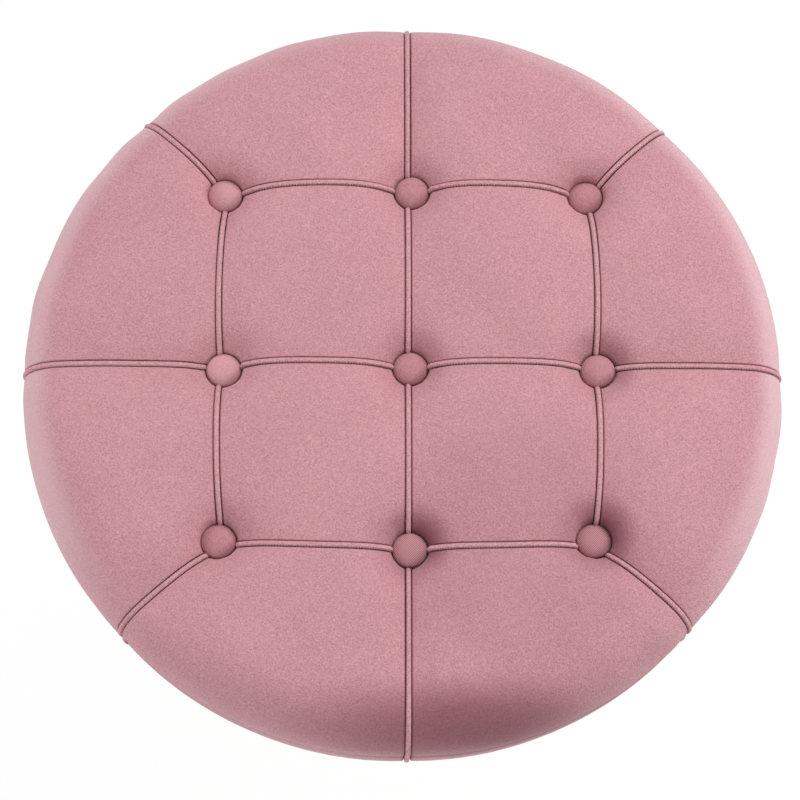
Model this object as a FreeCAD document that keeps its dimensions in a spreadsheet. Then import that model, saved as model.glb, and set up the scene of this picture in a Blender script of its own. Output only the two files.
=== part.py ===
import FreeCAD, Part
import Sketcher
import math
import os
from types import SimpleNamespace

Vector = FreeCAD.Vector
Rotation = FreeCAD.Rotation
Placement = FreeCAD.Placement
UP = Vector(0, 0, 1)

# Driving dimensions in millimetres and degrees: alias, value, meaning
DRIVING_SIZES = (
    ("seat_height", 450.0, "floor to the top of the crown"),
    ("seat_radius", 216.0, "axis to the widest line of the rim"),
    ("cushion_depth", 105.0, "top of the crown to the underside of the board"),
    ("velvet_thickness", 1.5, "velvet with its backing cloth"),
    ("soft_gap", 0.3, "air kept between soft pieces and their neighbours"),
    ("pillow_rise", 7.0, "top of an inner panel above the middle of its seams"),
    ("tuft_depth", 17.0, "middle of a seam above the pit under a button"),
    ("outer_rise", 3.0, "top of an outer panel above the middle of its inner seam"),
    ("radial_rise", 9.5, "top of a radial seam above the pit it starts from"),
    ("shoulder_rise", 2.0, "top of a panel above the top of its shoulder arc"),
    ("rim_drop", 41.0, "top of the crown down to the widest line of the rim"),
    ("roll_under", 11.0, "widest line of the rim down to the sewn crease"),
    ("under_roll_radius", 25.0, "arc from the widest line down to the crease"),
    ("seam_recess", 1.0, "how far a radial seam draws the rim in"),
    ("seam_setback", 1.8, "panel edge to the middle of its seam"),
    ("seam_bow", 2.7, "outward bow of the seams round the square of buttons"),
    ("cord_radius", 1.5, "sewn cord along every seam"),
    ("cord_sink", 0.5, "middle of the cord below the panel edges"),
    ("cord_end_gap", 1.0, "radial cord stops this far above the crease"),
    ("button_pitch", 105.5, "between neighbouring rows of buttons"),
    ("corner_pull", 2.5, "corner buttons drawn in towards the middle, each way"),
    ("pattern_shift_x", 2.5, "sewn pattern off the seat's axis, to the right"),
    ("pattern_shift_y", 2.3, "sewn pattern off the seat's axis, to the back"),
    ("back_diagonal", 45.0, "angle of the two back corner seams off the side seams"),
    ("front_diagonal", 43.0, "angle of the two front corner seams off the side seams"),
    ("button_radius", 10.0, "covered button"),
    ("button_height", 7.7, "covered button, flat back to the top of its dome"),
    ("button_back_radius", 8.2, "flat back of the button"),
    ("button_rim_height", 3.2, "widest line of the button above its back"),
    ("button_rim_fillet", 1.4, "rounding of the button's rim"),
    ("shank_room", 5.5, "radius left open in the pads under a button"),
    ("eye_radius", 1.4, "button's wire eye, to the middle of the wire"),
    ("eye_wire_radius", 0.45, "wire of the button's eye"),
    ("twine_radius", 0.5, "tufting twine"),
    ("twine_loop_radius", 1.1, "half the space between the two strands"),
    ("knot_radius", 2.4, "knot under the washer"),
    ("knot_height", 1.0, "knot under the washer"),
    ("twine_hole_radius", 2.5, "hole in foam and board for the twine"),
    ("washer_radius", 6.0, "twine washer"),
    ("washer_bore_radius", 1.9, "hole in the twine washer"),
    ("washer_thickness", 1.0, "twine washer"),
    ("board_radius", 188.0, "plywood board"),
    ("board_thickness", 15.0, "plywood board"),
    ("board_edge_radius", 6.0, "rounded lower edge of the board"),
    ("band_radius", 50.0, "bulge of the side band, seen in section"),
    ("hem_width", 30.0, "cover turned in under the board"),
    ("dust_cover_radius", 172.0, "black cloth under the board"),
    ("dust_cover_thickness", 0.5, "black cloth under the board"),
    ("dust_cover_drop", 2.4, "board's underside down to the black cloth"),
    ("staple_width", 10.0, "crown of a staple"),
    ("staple_wire", 0.6, "staple wire, square"),
    ("staple_leg", 6.0, "length of a staple's legs"),
    ("hem_staples", 24.0, "staples round the hem"),
    ("cloth_staples", 16.0, "staples round the black cloth"),
    ("hem_staple_inset", 8.0, "hem's inner edge out to its staples"),
    ("cloth_staple_inset", 4.0, "black cloth's edge in to its staples"),
    ("leg_circle", 108.0, "axis to the head of each leg"),
    ("leg_splay", 5.0, "lean of each leg, degrees"),
    ("first_leg_angle", 45.0, "angle of the first leg, degrees"),
    ("plate_width", 56.0, "square leg plate"),
    ("plate_thickness", 2.5, "square leg plate"),
    ("plate_clearance", 1.0, "black cloth cut back round each plate"),
    ("boss_radius", 10.0, "leaning boss on the plate"),
    ("boss_height", 9.0, "leaning boss, along the leg"),
    ("screw_pitch", 42.0, "between neighbouring screws of a plate"),
    ("screw_radius", 1.8, "wood screw shank"),
    ("screw_length", 12.0, "wood screw below its head"),
    ("screw_head_radius", 3.8, "wood screw head"),
    ("screw_head_height", 2.0, "wood screw head"),
    ("screw_clearance", 0.1, "all round a screw in its hole"),
    ("stud_radius", 4.0, "stud that joins leg and plate"),
    ("stud_clearance", 0.1, "all round the stud"),
    ("nut_across", 13.0, "nut across its flats"),
    ("nut_height", 6.5, "nut inside the leg"),
    ("leg_top_radius", 14.0, "tapered leg at its head"),
    ("leg_foot_radius", 8.0, "tapered leg at its foot"),
    ("leg_wall", 1.5, "wall of the leg"),
    ("leg_cap", 3.0, "closed head of the leg"),
    ("glide_height", 7.0, "floor to the end of the leg, along the leg"),
    ("glide_radius", 8.6, "foot pad"),
    ("glide_plug_length", 14.0, "part of the foot pad inside the leg"),
    ("glide_clearance", 0.1, "plug of the foot pad in the leg"),
)

# Places of the nine buttons in the grid: column to the right, row to the back
BUTTON_GRID = {
    "nw": (-1, 1), "n": (0, 1), "ne": (1, 1),
    "w": (-1, 0), "c": (0, 0), "e": (1, 0),
    "sw": (-1, -1), "s": (0, -1), "se": (1, -1),
}

# How far the upholsterer's hand pulled each button off the crossing of its seams
BUTTON_DRIFT = {
    "nw": (-1.5, -0.5), "n": (2.5, -0.5), "ne": (-1.0, -0.5),
    "w": (2.0, -2.5), "c": (1.5, -1.0), "e": (1.5, -2.0),
    "sw": (-2.0, 1.0), "s": (1.0, -1.0), "se": (0.0, 2.0),
}

# Inner panels by the crossings at their corners, anticlockwise from the front left
INNER_PANELS = {
    "nw": ("w", "c", "n", "nw"),
    "ne": ("c", "e", "ne", "n"),
    "sw": ("sw", "s", "c", "w"),
    "se": ("s", "se", "e", "c"),
}

# Outer panels and side bands by the two radial seams beside them, anticlockwise
OUTER_PANELS = {
    "ene": ("e", "ne"), "nne": ("ne", "n"), "nnw": ("n", "nw"), "wnw": ("nw", "w"),
    "wsw": ("w", "sw"), "ssw": ("sw", "s"), "sse": ("s", "se"), "ese": ("se", "e"),
}

INNER_SEAMS = (
    ("nw", "n"), ("n", "ne"), ("w", "c"), ("c", "e"), ("sw", "s"), ("s", "se"),
    ("nw", "w"), ("w", "sw"), ("n", "c"), ("c", "s"), ("ne", "e"), ("e", "se"),
)

INNER_STATIONS = (0.0, 0.15, 0.35, 0.5, 0.65, 0.85, 1.0)
OUTER_STATIONS = (0.0, 0.07, 0.2, 0.5, 0.8, 0.93, 1.0)
PILLOW_POWER = 3.0
LEG_COUNT = 4

doc = FreeCAD.newDocument("vanity_stool")
sheet = doc.addObject("Spreadsheet::Sheet", "Sizes")
for row, (alias, value, meaning) in enumerate(DRIVING_SIZES, start=1):
    sheet.set(f"A{row}", alias)
    sheet.set(f"B{row}", str(value))
    sheet.setAlias(f"B{row}", alias)
    sheet.set(f"C{row}", meaning)
doc.recompute()
size = SimpleNamespace(**{alias: float(sheet.get(alias)) for alias, _, _ in DRIVING_SIZES})

pieces = {}


def keep(label, piece):
    """Name a sub-part, which is also the name of its file."""
    piece.Label = label
    pieces[label] = piece
    return piece


def bind(item, **expressions):
    """Tie properties of an object to the sheet."""
    for name, expression in expressions.items():
        item.setExpression(name, expression)


def shaped(label, solids):
    """Sub-part whose solids were made with the geometry functions below."""
    piece = doc.addObject("Part::Feature", label)
    piece.Shape = solids[0] if len(solids) == 1 else Part.makeCompound(solids)
    piece.Placement = Placement()
    return keep(label, piece)


# Levels above the floor
BOARD_BOTTOM = "(Sizes.seat_height - Sizes.cushion_depth)"
board_bottom = size.seat_height - size.cushion_depth
board_top = board_bottom + size.board_thickness
mid_seam_level = size.seat_height - size.pillow_rise
pit_level = mid_seam_level - size.tuft_depth
outer_crest = mid_seam_level + size.outer_rise
radial_crest = pit_level + size.radial_rise
rim_level = size.seat_height - size.rim_drop
crease_level = rim_level - size.roll_under
skin_depth = size.velvet_thickness + size.soft_gap
plate_bottom = board_bottom - size.plate_thickness
button_base = pit_level + size.soft_gap
button_room = size.button_radius + size.soft_gap


def polar(radius, angle, level=0.0):
    return Vector(radius * math.cos(angle), radius * math.sin(angle), level)


def flat(vector):
    return Vector(vector.x, vector.y, 0)


def unit(vector):
    return vector / vector.Length


def arc_between(start, middle, end):
    return Part.Arc(start, middle, end).toShape()


def line_between(start, end):
    return Part.LineSegment(start, end).toShape()


def arc_share(start, middle, end, share):
    """Point part of the way along the arc through three points."""
    arc = Part.Arc(start, middle, end)
    return arc.value(arc.FirstParameter + share * (arc.LastParameter - arc.FirstParameter))


def loft(wires):
    return Part.makeLoft(wires, True, False)


# Seam crossings, buttons and seams

pattern_centre = Vector(size.pattern_shift_x, size.pattern_shift_y, 0)


def crossing(name):
    """Seam crossing under a button, at the level of the pit."""
    column, row = BUTTON_GRID[name]
    corner = column != 0 and row != 0
    reach = size.button_pitch - (size.corner_pull if corner else 0.0)
    return pattern_centre + Vector(column * reach, row * reach, pit_level)


def button_centre(name, level):
    place = crossing(name) + Vector(*BUTTON_DRIFT[name], 0)
    return Vector(place.x, place.y, level)


def seam_middle(first, second):
    """Middle of a seam between two crossings: raised, and bowed outwards round the square."""
    halfway = flat(crossing(first) + crossing(second)) / 2
    outward = halfway - pattern_centre
    around_square = "c" not in (first, second)
    if around_square:
        halfway += unit(outward) * size.seam_bow
    return halfway + UP * mid_seam_level


def radial_angle(name):
    """Direction in which a radial seam leaves the middle of the pattern."""
    column, row = BUTTON_GRID[name]
    if column == 0:
        return math.radians(90.0 * row)
    diagonal = size.back_diagonal if row > 0 else size.front_diagonal
    lean = math.radians(row * diagonal)
    return lean if column > 0 else math.pi - lean


def rim_angle(name):
    """Angle about the seat's axis at which a radial seam meets the rim."""
    heading = polar(1.0, radial_angle(name))
    along = pattern_centre.dot(heading)
    reach = math.sqrt(along ** 2 - pattern_centre.dot(pattern_centre) + size.seat_radius ** 2) - along
    meeting = pattern_centre + heading * reach
    return math.atan2(meeting.y, meeting.x)


def rim_point(angle, fullness):
    radius = size.seat_radius - size.seam_recess * (1.0 - fullness)
    return polar(radius, angle, rim_level)


def panel_corner(name, first_heading, second_heading):
    """Corner of a panel, set back from both seams that leave the crossing."""
    first = unit(flat(first_heading))
    second = unit(flat(second_heading))
    opening = math.sin(first.getAngle(second))
    return crossing(name) + (first + second) * (size.seam_setback / opening)


def seam_heading(name, neighbour):
    return seam_middle(name, neighbour) - crossing(name)


def fullness_at(share):
    """How far a panel has swelled from its seam (0) to its middle (1)."""
    return 1.0 - abs(2.0 * share - 1.0) ** PILLOW_POWER


# Sections of the cover


class RollSection:
    """Upright section of the cover: crown arc, shoulder arc and the roll under the rim.

    The crown arc rises from the start to its crest and runs into the shoulder arc, which
    ends upright at the rim. Distances run out from the start, levels up from the floor.
    """

    def __init__(self, start, rim, crest):
        across = flat(rim - start)
        self.start = start
        self.run = across.Length
        self.out = unit(across)
        self.level = rim.z
        rise = crest - start.z
        drop = crest - rim.z
        self.shoulder = drop - size.shoulder_rise
        reach = self.run - self.shoulder
        square_term = size.shoulder_rise - rise
        linear_term = 2.0 * reach * rise
        gap_term = rise * reach ** 2 - rise * size.shoulder_rise * (rise - self.shoulder - drop)
        root = math.sqrt(linear_term ** 2 + 4.0 * square_term * gap_term)
        crest_reach = 2.0 * gap_term / (linear_term + root)
        self.crown = (crest_reach ** 2 / rise + rise) / 2.0
        self.crown_centre = (crest_reach, crest - self.crown)
        self.shoulder_centre = (reach, rim.z)
        self.under_centre = (self.run - size.under_roll_radius, rim.z)
        self.meeting = math.atan2(rim.z - self.crown_centre[1], reach - crest_reach)

    def place(self, centre, radius, angle):
        """Point of the section on a circle about one of its centres."""
        distance = centre[0] + radius * math.cos(angle)
        level = centre[1] + radius * math.sin(angle)
        return flat(self.start) + self.out * distance + UP * level

    def arc(self, centre, radius, first, last):
        return arc_between(
            self.place(centre, radius, first),
            self.place(centre, radius, (first + last) / 2.0),
            self.place(centre, radius, last),
        )

    def arcs(self, depth, first, last):
        """The three arcs at a depth under the velvet's face, from the seam to the crease."""
        return [
            self.arc(self.crown_centre, self.crown - depth, first, self.meeting),
            self.arc(self.shoulder_centre, self.shoulder - depth, self.meeting, 0.0),
            self.arc(self.under_centre, size.under_roll_radius - depth, 0.0, last),
        ]

    def seam_turn(self):
        """Angle on the crown arc at which the velvet starts."""
        return math.atan2(self.start.z - self.crown_centre[1], -self.crown_centre[0])

    def end_turn(self, depth, level):
        """Angle on the lower roll at which it reaches a level."""
        return -math.asin((self.level - level) / (size.under_roll_radius - depth))

    def velvet(self):
        first = self.seam_turn()
        last = self.end_turn(0.0, crease_level + size.soft_gap)
        outer = self.arcs(0.0, first, last)
        inner = self.arcs(size.velvet_thickness, first, last)
        return closed_between(outer, inner)

    def wadding(self):
        bottom = crease_level + size.soft_gap
        upright = math.pi - math.acos(self.crown_centre[0] / (self.crown - skin_depth))
        last = self.end_turn(skin_depth, bottom)
        top = self.arcs(skin_depth, upright, last)
        inside = flat(self.start) + UP * bottom
        outside = top[-1].lastVertex(True).Point
        inner_top = top[0].firstVertex(True).Point
        return Part.Wire(top + [line_between(outside, inside), line_between(inside, inner_top)])

    def cord_path(self):
        last = self.end_turn(size.cord_sink, crease_level + size.cord_end_gap)
        return Part.Wire(self.arcs(size.cord_sink, self.seam_turn(), last))


def closed_between(outer, inner):
    """Closed wire of two rows of edges that run the same way, one a thickness inside the other."""
    far_end = line_between(outer[-1].lastVertex(True).Point, inner[-1].lastVertex(True).Point)
    near_end = line_between(inner[0].firstVertex(True).Point, outer[0].firstVertex(True).Point)
    back = [edge.reversed() for edge in reversed(inner)]
    return Part.Wire(outer + [far_end] + back + [near_end])


class BandSection:
    """Upright section of the side band: a bulging arc, the turn round the board and the hem."""

    def __init__(self, angle, fullness):
        self.angle = angle
        crease_turn = math.asin(size.roll_under / size.under_roll_radius)
        inset = size.under_roll_radius * (1.0 - math.cos(crease_turn))
        self.top = Vector(
            rim_point(0.0, fullness).x - inset,
            0,
            crease_level - size.soft_gap,
        )
        self.edge = Vector(
            size.board_radius - size.board_edge_radius,
            0,
            board_bottom + size.board_edge_radius,
        )
        self.turn = size.board_edge_radius + skin_depth
        self.centre = self.bulge_centre()
        self.top_turn = self.turn_to(self.top)
        self.meeting = self.turn_to(self.edge)

    def bulge_centre(self):
        """Centre of the bulge: on the crease, and running into the turn round the board."""
        span = self.edge - self.top
        reach = span.Length
        along = (size.band_radius ** 2 - (size.band_radius - self.turn) ** 2 + reach ** 2) / (2.0 * reach)
        aside = math.sqrt(size.band_radius ** 2 - along ** 2)
        heading = unit(span)
        inward = Vector(heading.z, 0, -heading.x)
        return self.top + heading * along + inward * aside

    def turn_to(self, point):
        return math.atan2(point.z - self.centre.z, point.x - self.centre.x)

    def place(self, distance, level):
        return polar(distance, self.angle, level)

    def arc(self, centre, radius, first, last):
        points = []
        for angle in (first, (first + last) / 2.0, last):
            distance = centre.x + radius * math.cos(angle)
            points.append(self.place(distance, centre.z + radius * math.sin(angle)))
        return arc_between(*points)

    def row(self, depth):
        """Bulge, turn and hem at a depth under the velvet's face."""
        down = -math.pi / 2.0
        level = self.edge.z - (self.turn - depth)
        hem_end = size.board_radius - size.hem_width
        return [
            self.arc(self.centre, size.band_radius - depth, self.top_turn, self.meeting),
            self.arc(self.edge, self.turn - depth, self.meeting, down),
            line_between(self.place(self.edge.x, level), self.place(hem_end, level)),
        ]

    def velvet(self):
        return closed_between(self.row(0.0), self.row(size.velvet_thickness))

    def cord_path(self):
        return Part.Wire(self.row(size.cord_sink)[:2])

    def radius_at(self, depth, level):
        """Distance from the axis, at a depth under the face of the bulge."""
        radius = size.band_radius - depth
        return self.centre.x + math.sqrt(radius ** 2 - (level - self.centre.z) ** 2)


# Tools that cut the soft pieces round the buttons


def upright_rod(place, radius, bottom, top):
    return Part.makeCylinder(radius, top - bottom, Vector(place.x, place.y, bottom))


def button_rods(names, radius, bottom, top):
    return [upright_rod(button_centre(name, 0.0), radius, bottom, top) for name in names]


def cut_velvet(solid, names):
    """Open the velvet or a cord round its buttons."""
    return solid.cut(button_rods(names, button_room, crease_level, size.seat_height)).Solids[0]


def cut_wadding(solid, names):
    """Seat the buttons in a pad, and leave room for their eyes and twine."""
    seats = button_rods(names, button_room, pit_level, size.seat_height)
    shafts = [
        upright_rod(crossing(name), size.shank_room, board_top, size.seat_height) for name in names
    ]
    return solid.cut(seats + shafts).Solids[0]


def cord_along(path, names):
    """Round cord along a path, stopped at the buttons."""
    start = path.OrderedVertexes[0].Point
    heading = path.OrderedEdges[0].tangentAt(path.OrderedEdges[0].FirstParameter)
    ring = Part.Wire(Part.Circle(start, heading, size.cord_radius).toShape())
    return cut_velvet(path.makePipeShell([ring], True, False), names)


# Inner panels


def inner_sections(corners, section):
    """Sections of an inner panel, from its front seam to its back seam."""
    front_left, front_right, back_right, back_left = corners
    middle = sum((flat(crossing(name)) for name in corners), Vector()) / 4
    turns = {}
    sides = {}
    for index, name in enumerate(corners):
        before = corners[index - 1]
        after = corners[(index + 1) % 4]
        turns[name] = panel_corner(name, seam_heading(name, before), seam_heading(name, after))
        halfway = seam_middle(name, after)
        along = unit(flat(crossing(after) - crossing(name)))
        inward = Vector(-along.y, along.x, 0)
        sides[name] = halfway + inward * size.seam_setback
    top = middle + UP * size.seat_height
    wires = []
    for share in INNER_STATIONS:
        left = arc_share(turns[front_left], sides[back_left], turns[back_left], share)
        ridge = arc_share(sides[front_left], top, sides[back_right], share)
        right = arc_share(turns[front_right], sides[front_right], turns[back_right], share)
        wires.append(section(left, ridge, right))
    return wires


def slope_down(left, ridge, right):
    """Downward step of one millimetre that stays in the plane of a section."""
    normal = unit((right - left).cross(ridge - left))
    upward = UP - normal * UP.dot(normal)
    return upward / -upward.z


def inner_velvet(left, ridge, right):
    down = slope_down(left, ridge, right) * size.velvet_thickness
    face = [arc_between(left, ridge, right)]
    back = [arc_between(left + down, ridge + down, right + down)]
    return closed_between(face, back)


def inner_wadding(left, ridge, right):
    step = slope_down(left, ridge, right)
    down = step * skin_depth
    top = arc_between(left + down, ridge + down, right + down)
    bottom = crease_level + size.soft_gap
    low_left = left + step * (left.z - bottom)
    low_right = right + step * (right.z - bottom)
    return Part.Wire([
        top,
        line_between(right + down, low_right),
        line_between(low_right, low_left),
        line_between(low_left, left + down),
    ])


# Outer panels and side bands


def panel_angles(first, second):
    """Rim angles of a panel's two edges, set back from the seams beside it."""
    start = rim_angle(first)
    end = rim_angle(second)
    if end < start:
        end += 2.0 * math.pi
    setback = size.seam_setback / size.seat_radius
    return start + setback, end - setback


def outer_sections(first, second):
    """Sections of an outer panel, anticlockwise from one radial seam to the next."""
    start, end = panel_angles(first, second)
    first_out = polar(1.0, radial_angle(first))
    second_out = polar(1.0, radial_angle(second))
    near = panel_corner(first, seam_heading(first, second), first_out)
    far = panel_corner(second, seam_heading(second, first), second_out)
    along = unit(flat(crossing(second) - crossing(first)))
    outward = Vector(along.y, -along.x, 0)
    middle = seam_middle(first, second) + outward * size.seam_setback
    sections = []
    for share in OUTER_STATIONS:
        fullness = fullness_at(share)
        rim = rim_point(start + share * (end - start), fullness)
        crest = radial_crest + fullness * (outer_crest - radial_crest)
        sections.append(RollSection(arc_share(near, middle, far, share), rim, crest))
    return sections


def band_sections(first, second):
    start, end = panel_angles(first, second)
    return [
        BandSection(start + share * (end - start), fullness_at(share)) for share in OUTER_STATIONS
    ]


# Staples


def staple(radius, angle, underside):
    """Staple driven up from below: its crown lies across the radius."""
    wire = size.staple_wire
    crown = Part.makeBox(wire, size.staple_width, wire, Vector(-wire / 2, -size.staple_width / 2, -wire))
    legs = []
    for side in (-size.staple_width / 2, size.staple_width / 2 - wire):
        legs.append(Part.makeBox(wire, wire, size.staple_leg, Vector(-wire / 2, side, 0)))
    whole = crown.fuse(legs).removeSplitter().Solids[0]
    return turned(whole, polar(radius, angle, underside), Rotation(UP, math.degrees(angle)))


def staple_slots(radius, angle, underside):
    """Slots that a staple's legs leave in the cloth and the board."""
    room = size.staple_wire + 2.0 * size.screw_clearance
    slots = []
    for side in (-1, 1):
        middle = side * (size.staple_width - size.staple_wire) / 2
        corner = Vector(-room / 2, middle - room / 2, -size.staple_wire)
        slot = Part.makeBox(room, room, size.staple_leg + room, corner)
        slots.append(turned(slot, polar(radius, angle, underside), Rotation(UP, math.degrees(angle))))
    return slots


def turned(shape, base, rotation):
    moved = shape.copy()
    moved.Placement = Placement(base, rotation)
    return moved


def ring_angles(count):
    """Even angles round the axis, half a step off the first."""
    return [2.0 * math.pi * (index + 0.5) / count for index in range(round(count))]


hem_underside = board_bottom - skin_depth
cloth_underside = board_bottom - size.dust_cover_drop - size.dust_cover_thickness
hem_staple_radius = size.board_radius - size.hem_width + size.hem_staple_inset
cloth_staple_radius = size.dust_cover_radius - size.cloth_staple_inset
hem_angles = ring_angles(size.hem_staples)
cloth_angles = ring_angles(size.cloth_staples)
hem_slots = [
    slot for angle in hem_angles for slot in staple_slots(hem_staple_radius, angle, hem_underside)
]
cloth_slots = [
    slot for angle in cloth_angles for slot in staple_slots(cloth_staple_radius, angle, cloth_underside)
]

# Velvet and wadding of the crown

pads = []
for name, corners in INNER_PANELS.items():
    velvet = loft(inner_sections(corners, inner_velvet))
    shaped(f"velvet_inner_{name}", [cut_velvet(velvet, corners)])
    pads.append(cut_wadding(loft(inner_sections(corners, inner_wadding)), corners))
for name, ends in OUTER_PANELS.items():
    sections = outer_sections(*ends)
    velvet = loft([section.velvet() for section in sections])
    shaped(f"velvet_outer_{name}", [cut_velvet(velvet, ends)])
    pads.append(cut_wadding(loft([section.wadding() for section in sections]), ends))
shaped("crown_wadding", pads)

# Side band, turned in under the board

for name, ends in OUTER_PANELS.items():
    band = loft([section.velvet() for section in band_sections(*ends)])
    shaped(f"side_band_{name}", [band.cut(hem_slots + cloth_slots).Solids[0]])

# Cords along every seam

cords = []
for first, second in INNER_SEAMS:
    sink = UP * -size.cord_sink
    seam = arc_between(crossing(first) + sink, seam_middle(first, second) + sink, crossing(second) + sink)
    cords.append(cord_along(Part.Wire([seam]), (first, second)))
for name in BUTTON_GRID:
    if name == "c":
        continue
    angle = rim_angle(name)
    seam = RollSection(crossing(name), rim_point(angle, 0.0), radial_crest)
    cords.append(cord_along(seam.cord_path(), (name,)))
    cords.append(cord_along(BandSection(angle, 0.0).cord_path(), (name,)))
shaped("seam_cords", cords)

# Foam slab: its side follows the band where the seams draw it in, just inside the cords


def foam_slab():
    side = BandSection(0.0, 0.0)
    depth = size.cord_sink + size.cord_radius + size.soft_gap
    bottom = board_top + size.soft_gap
    low = Vector(side.radius_at(depth, bottom), 0, bottom)
    halfway = (bottom + crease_level) / 2.0
    bulge = Vector(side.radius_at(depth, halfway), 0, halfway)
    high = Vector(side.radius_at(depth, crease_level - size.soft_gap), 0, crease_level)
    outline = Part.Wire([
        line_between(UP * bottom, low),
        arc_between(low, bulge, high),
        line_between(high, UP * crease_level),
        line_between(UP * crease_level, UP * bottom),
    ])
    slab = Part.Face(outline).revolve(Vector(), UP, 360)
    return slab.cut(button_rods(BUTTON_GRID, size.twine_hole_radius, board_bottom, size.seat_height))


shaped("foam_core", [foam_slab().Solids[0]])

# Sketch helpers


def origin_plane(body, role):
    return next(item for item in body.Origin.OriginFeatures if item.Role == role)


def new_sketch(body, name, role):
    sketch = body.newObject("Sketcher::SketchObject", name)
    sketch.AttachmentSupport = [(origin_plane(body, role), "")]
    sketch.MapMode = "FlatFace"
    return sketch


def pin_point(sketch, edge, end, across, upward):
    """Tie one end of an edge to the sheet, by its two distances from the sketch's origin."""
    drawn = sketch.getPoint(edge, end)
    for kind, value, expression in (("DistanceX", drawn.x, across), ("DistanceY", drawn.y, upward)):
        index = sketch.addConstraint(Sketcher.Constraint(kind, -1, 1, edge, end, value))
        sketch.setExpression(f"Constraints[{index}]", expression)


def outline_sketch(body, name, role, corners):
    """Closed outline of straight lines through corners given as pairs of expressions."""
    sketch = new_sketch(body, name, role)
    count = len(corners)
    for index in range(count):
        sketch.addGeometry(Part.LineSegment(Vector(index, index * index, 0), Vector(index + 1, -index, 0)))
    for index in range(count):
        sketch.addConstraint(Sketcher.Constraint("Coincident", index, 2, (index + 1) % count, 1))
    for index, (across, upward) in enumerate(corners):
        pin_point(sketch, index, 1, across, upward)
    return sketch


def circle_sketch(body, name, role, circles):
    """Circles given as centre across, centre upward and radius."""
    sketch = new_sketch(body, name, role)
    for index, (across, upward, radius) in enumerate(circles):
        sketch.addGeometry(Part.Circle(Vector(index, 0, 0), UP, 1.0))
        pin_point(sketch, index, 3, across, upward)
        ring = sketch.addConstraint(Sketcher.Constraint("Radius", index, 1.0))
        sketch.setExpression(f"Constraints[{ring}]", radius)
    return sketch


def revolved(body, sketch):
    turn = body.newObject("PartDesign::Revolution", "Turn")
    turn.Profile = sketch
    turn.ReferenceAxis = (sketch, ["V_Axis"])
    turn.Angle = 360.0
    return turn


def padded(body, sketch, length):
    pad = body.newObject("PartDesign::Pad", "Pad")
    pad.Profile = sketch
    pad.setExpression("Length", length)
    return pad


def pocketed(body, sketch, name):
    """Cut a sketch through the whole body, both ways from its plane."""
    pocket = body.newObject("PartDesign::Pocket", name)
    pocket.Profile = sketch
    pocket.Type = "ThroughAll"
    pocket.Midplane = True
    return pocket


def rings_at(shape, radius, level):
    """Names of the edges that run right round the axis at a radius and a level."""
    names = []
    for index, edge in enumerate(shape.Edges, start=1):
        box = edge.BoundBox
        round_axis = abs(box.XLength / 2.0 - radius) < 0.01 and box.ZLength < 0.01
        if round_axis and abs(box.ZMax - level) < 0.01:
            names.append(f"Edge{index}")
    return names


def new_body(label):
    return keep(label, doc.addObject("PartDesign::Body", label))


def grouped(label, tools):
    """Compound of separate solids that share one node."""
    group = doc.addObject("Part::Compound", label)
    group.Links = tools
    return keep(label, group)


def rod(name, radius, length, placement):
    """Cylinder tied to the sheet, along the placement's own axis."""
    cylinder = doc.addObject("Part::Cylinder", name)
    bind(cylinder, Radius=radius, Height=length)
    cylinder.Placement = placement
    return cylinder


def cut_by(name, base, tools):
    """Base with all its tools cut away."""
    joined = tools[0]
    if len(tools) > 1:
        joined = doc.addObject("Part::MultiFuse", f"{name}_holes")
        joined.Shapes = tools
    cut = doc.addObject("Part::Cut", name)
    cut.Base = base
    cut.Tool = joined
    return cut


# Covered buttons and what holds them down

for name in BUTTON_GRID:
    button = new_body(f"button_{name}")
    sketch = new_sketch(button, "Profile", "XZ_Plane")
    back = Vector(size.button_back_radius, 0, 0)
    rim = Vector(size.button_radius, size.button_rim_height, 0)
    rise = size.button_height - size.button_rim_height
    dome = (size.button_radius ** 2 + rise ** 2) / (2.0 * rise)
    middle = Vector(0, size.button_height - dome, 0)
    start = math.atan2(rim.y - middle.y, rim.x)
    sketch.addGeometry(Part.LineSegment(Vector(), back))
    sketch.addGeometry(Part.LineSegment(back, rim))
    sketch.addGeometry(Part.ArcOfCircle(Part.Circle(middle, UP, dome), start, math.pi / 2.0))
    sketch.addGeometry(Part.LineSegment(Vector(0, size.button_height, 0), Vector()))
    for edge, end, follower, follower_end in ((0, 2, 1, 1), (1, 2, 2, 1), (2, 2, 3, 1), (3, 2, 0, 1)):
        sketch.addConstraint(Sketcher.Constraint("Coincident", edge, end, follower, follower_end))
    pin_point(sketch, 0, 1, "0", "0")
    pin_point(sketch, 1, 1, "Sizes.button_back_radius", "0")
    pin_point(sketch, 2, 1, "Sizes.button_radius", "Sizes.button_rim_height")
    pin_point(sketch, 3, 1, "0", "Sizes.button_height")
    sketch.addConstraint(Sketcher.Constraint("PointOnObject", 2, 3, -2))
    turn = revolved(button, sketch)
    doc.recompute()
    fillet = button.newObject("PartDesign::Fillet", "Rim")
    fillet.Base = (turn, rings_at(turn.Shape, size.button_radius, size.button_rim_height))
    fillet.setExpression("Radius", "Sizes.button_rim_fillet")
    button.Tip = fillet
    button.Placement = Placement(button_centre(name, button_base), Rotation())

eye_level = button_base - size.soft_gap - size.eye_radius - size.eye_wire_radius
eyes = []
for name in BUTTON_GRID:
    eye = doc.addObject("Part::Torus", f"eye_{name}")
    bind(eye, Radius1="Sizes.eye_radius", Radius2="Sizes.eye_wire_radius")
    eye.Placement = Placement(button_centre(name, eye_level), Rotation(Vector(1, 0, 0), 90))
    eyes.append(eye)
grouped("button_eyes", eyes)


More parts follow.
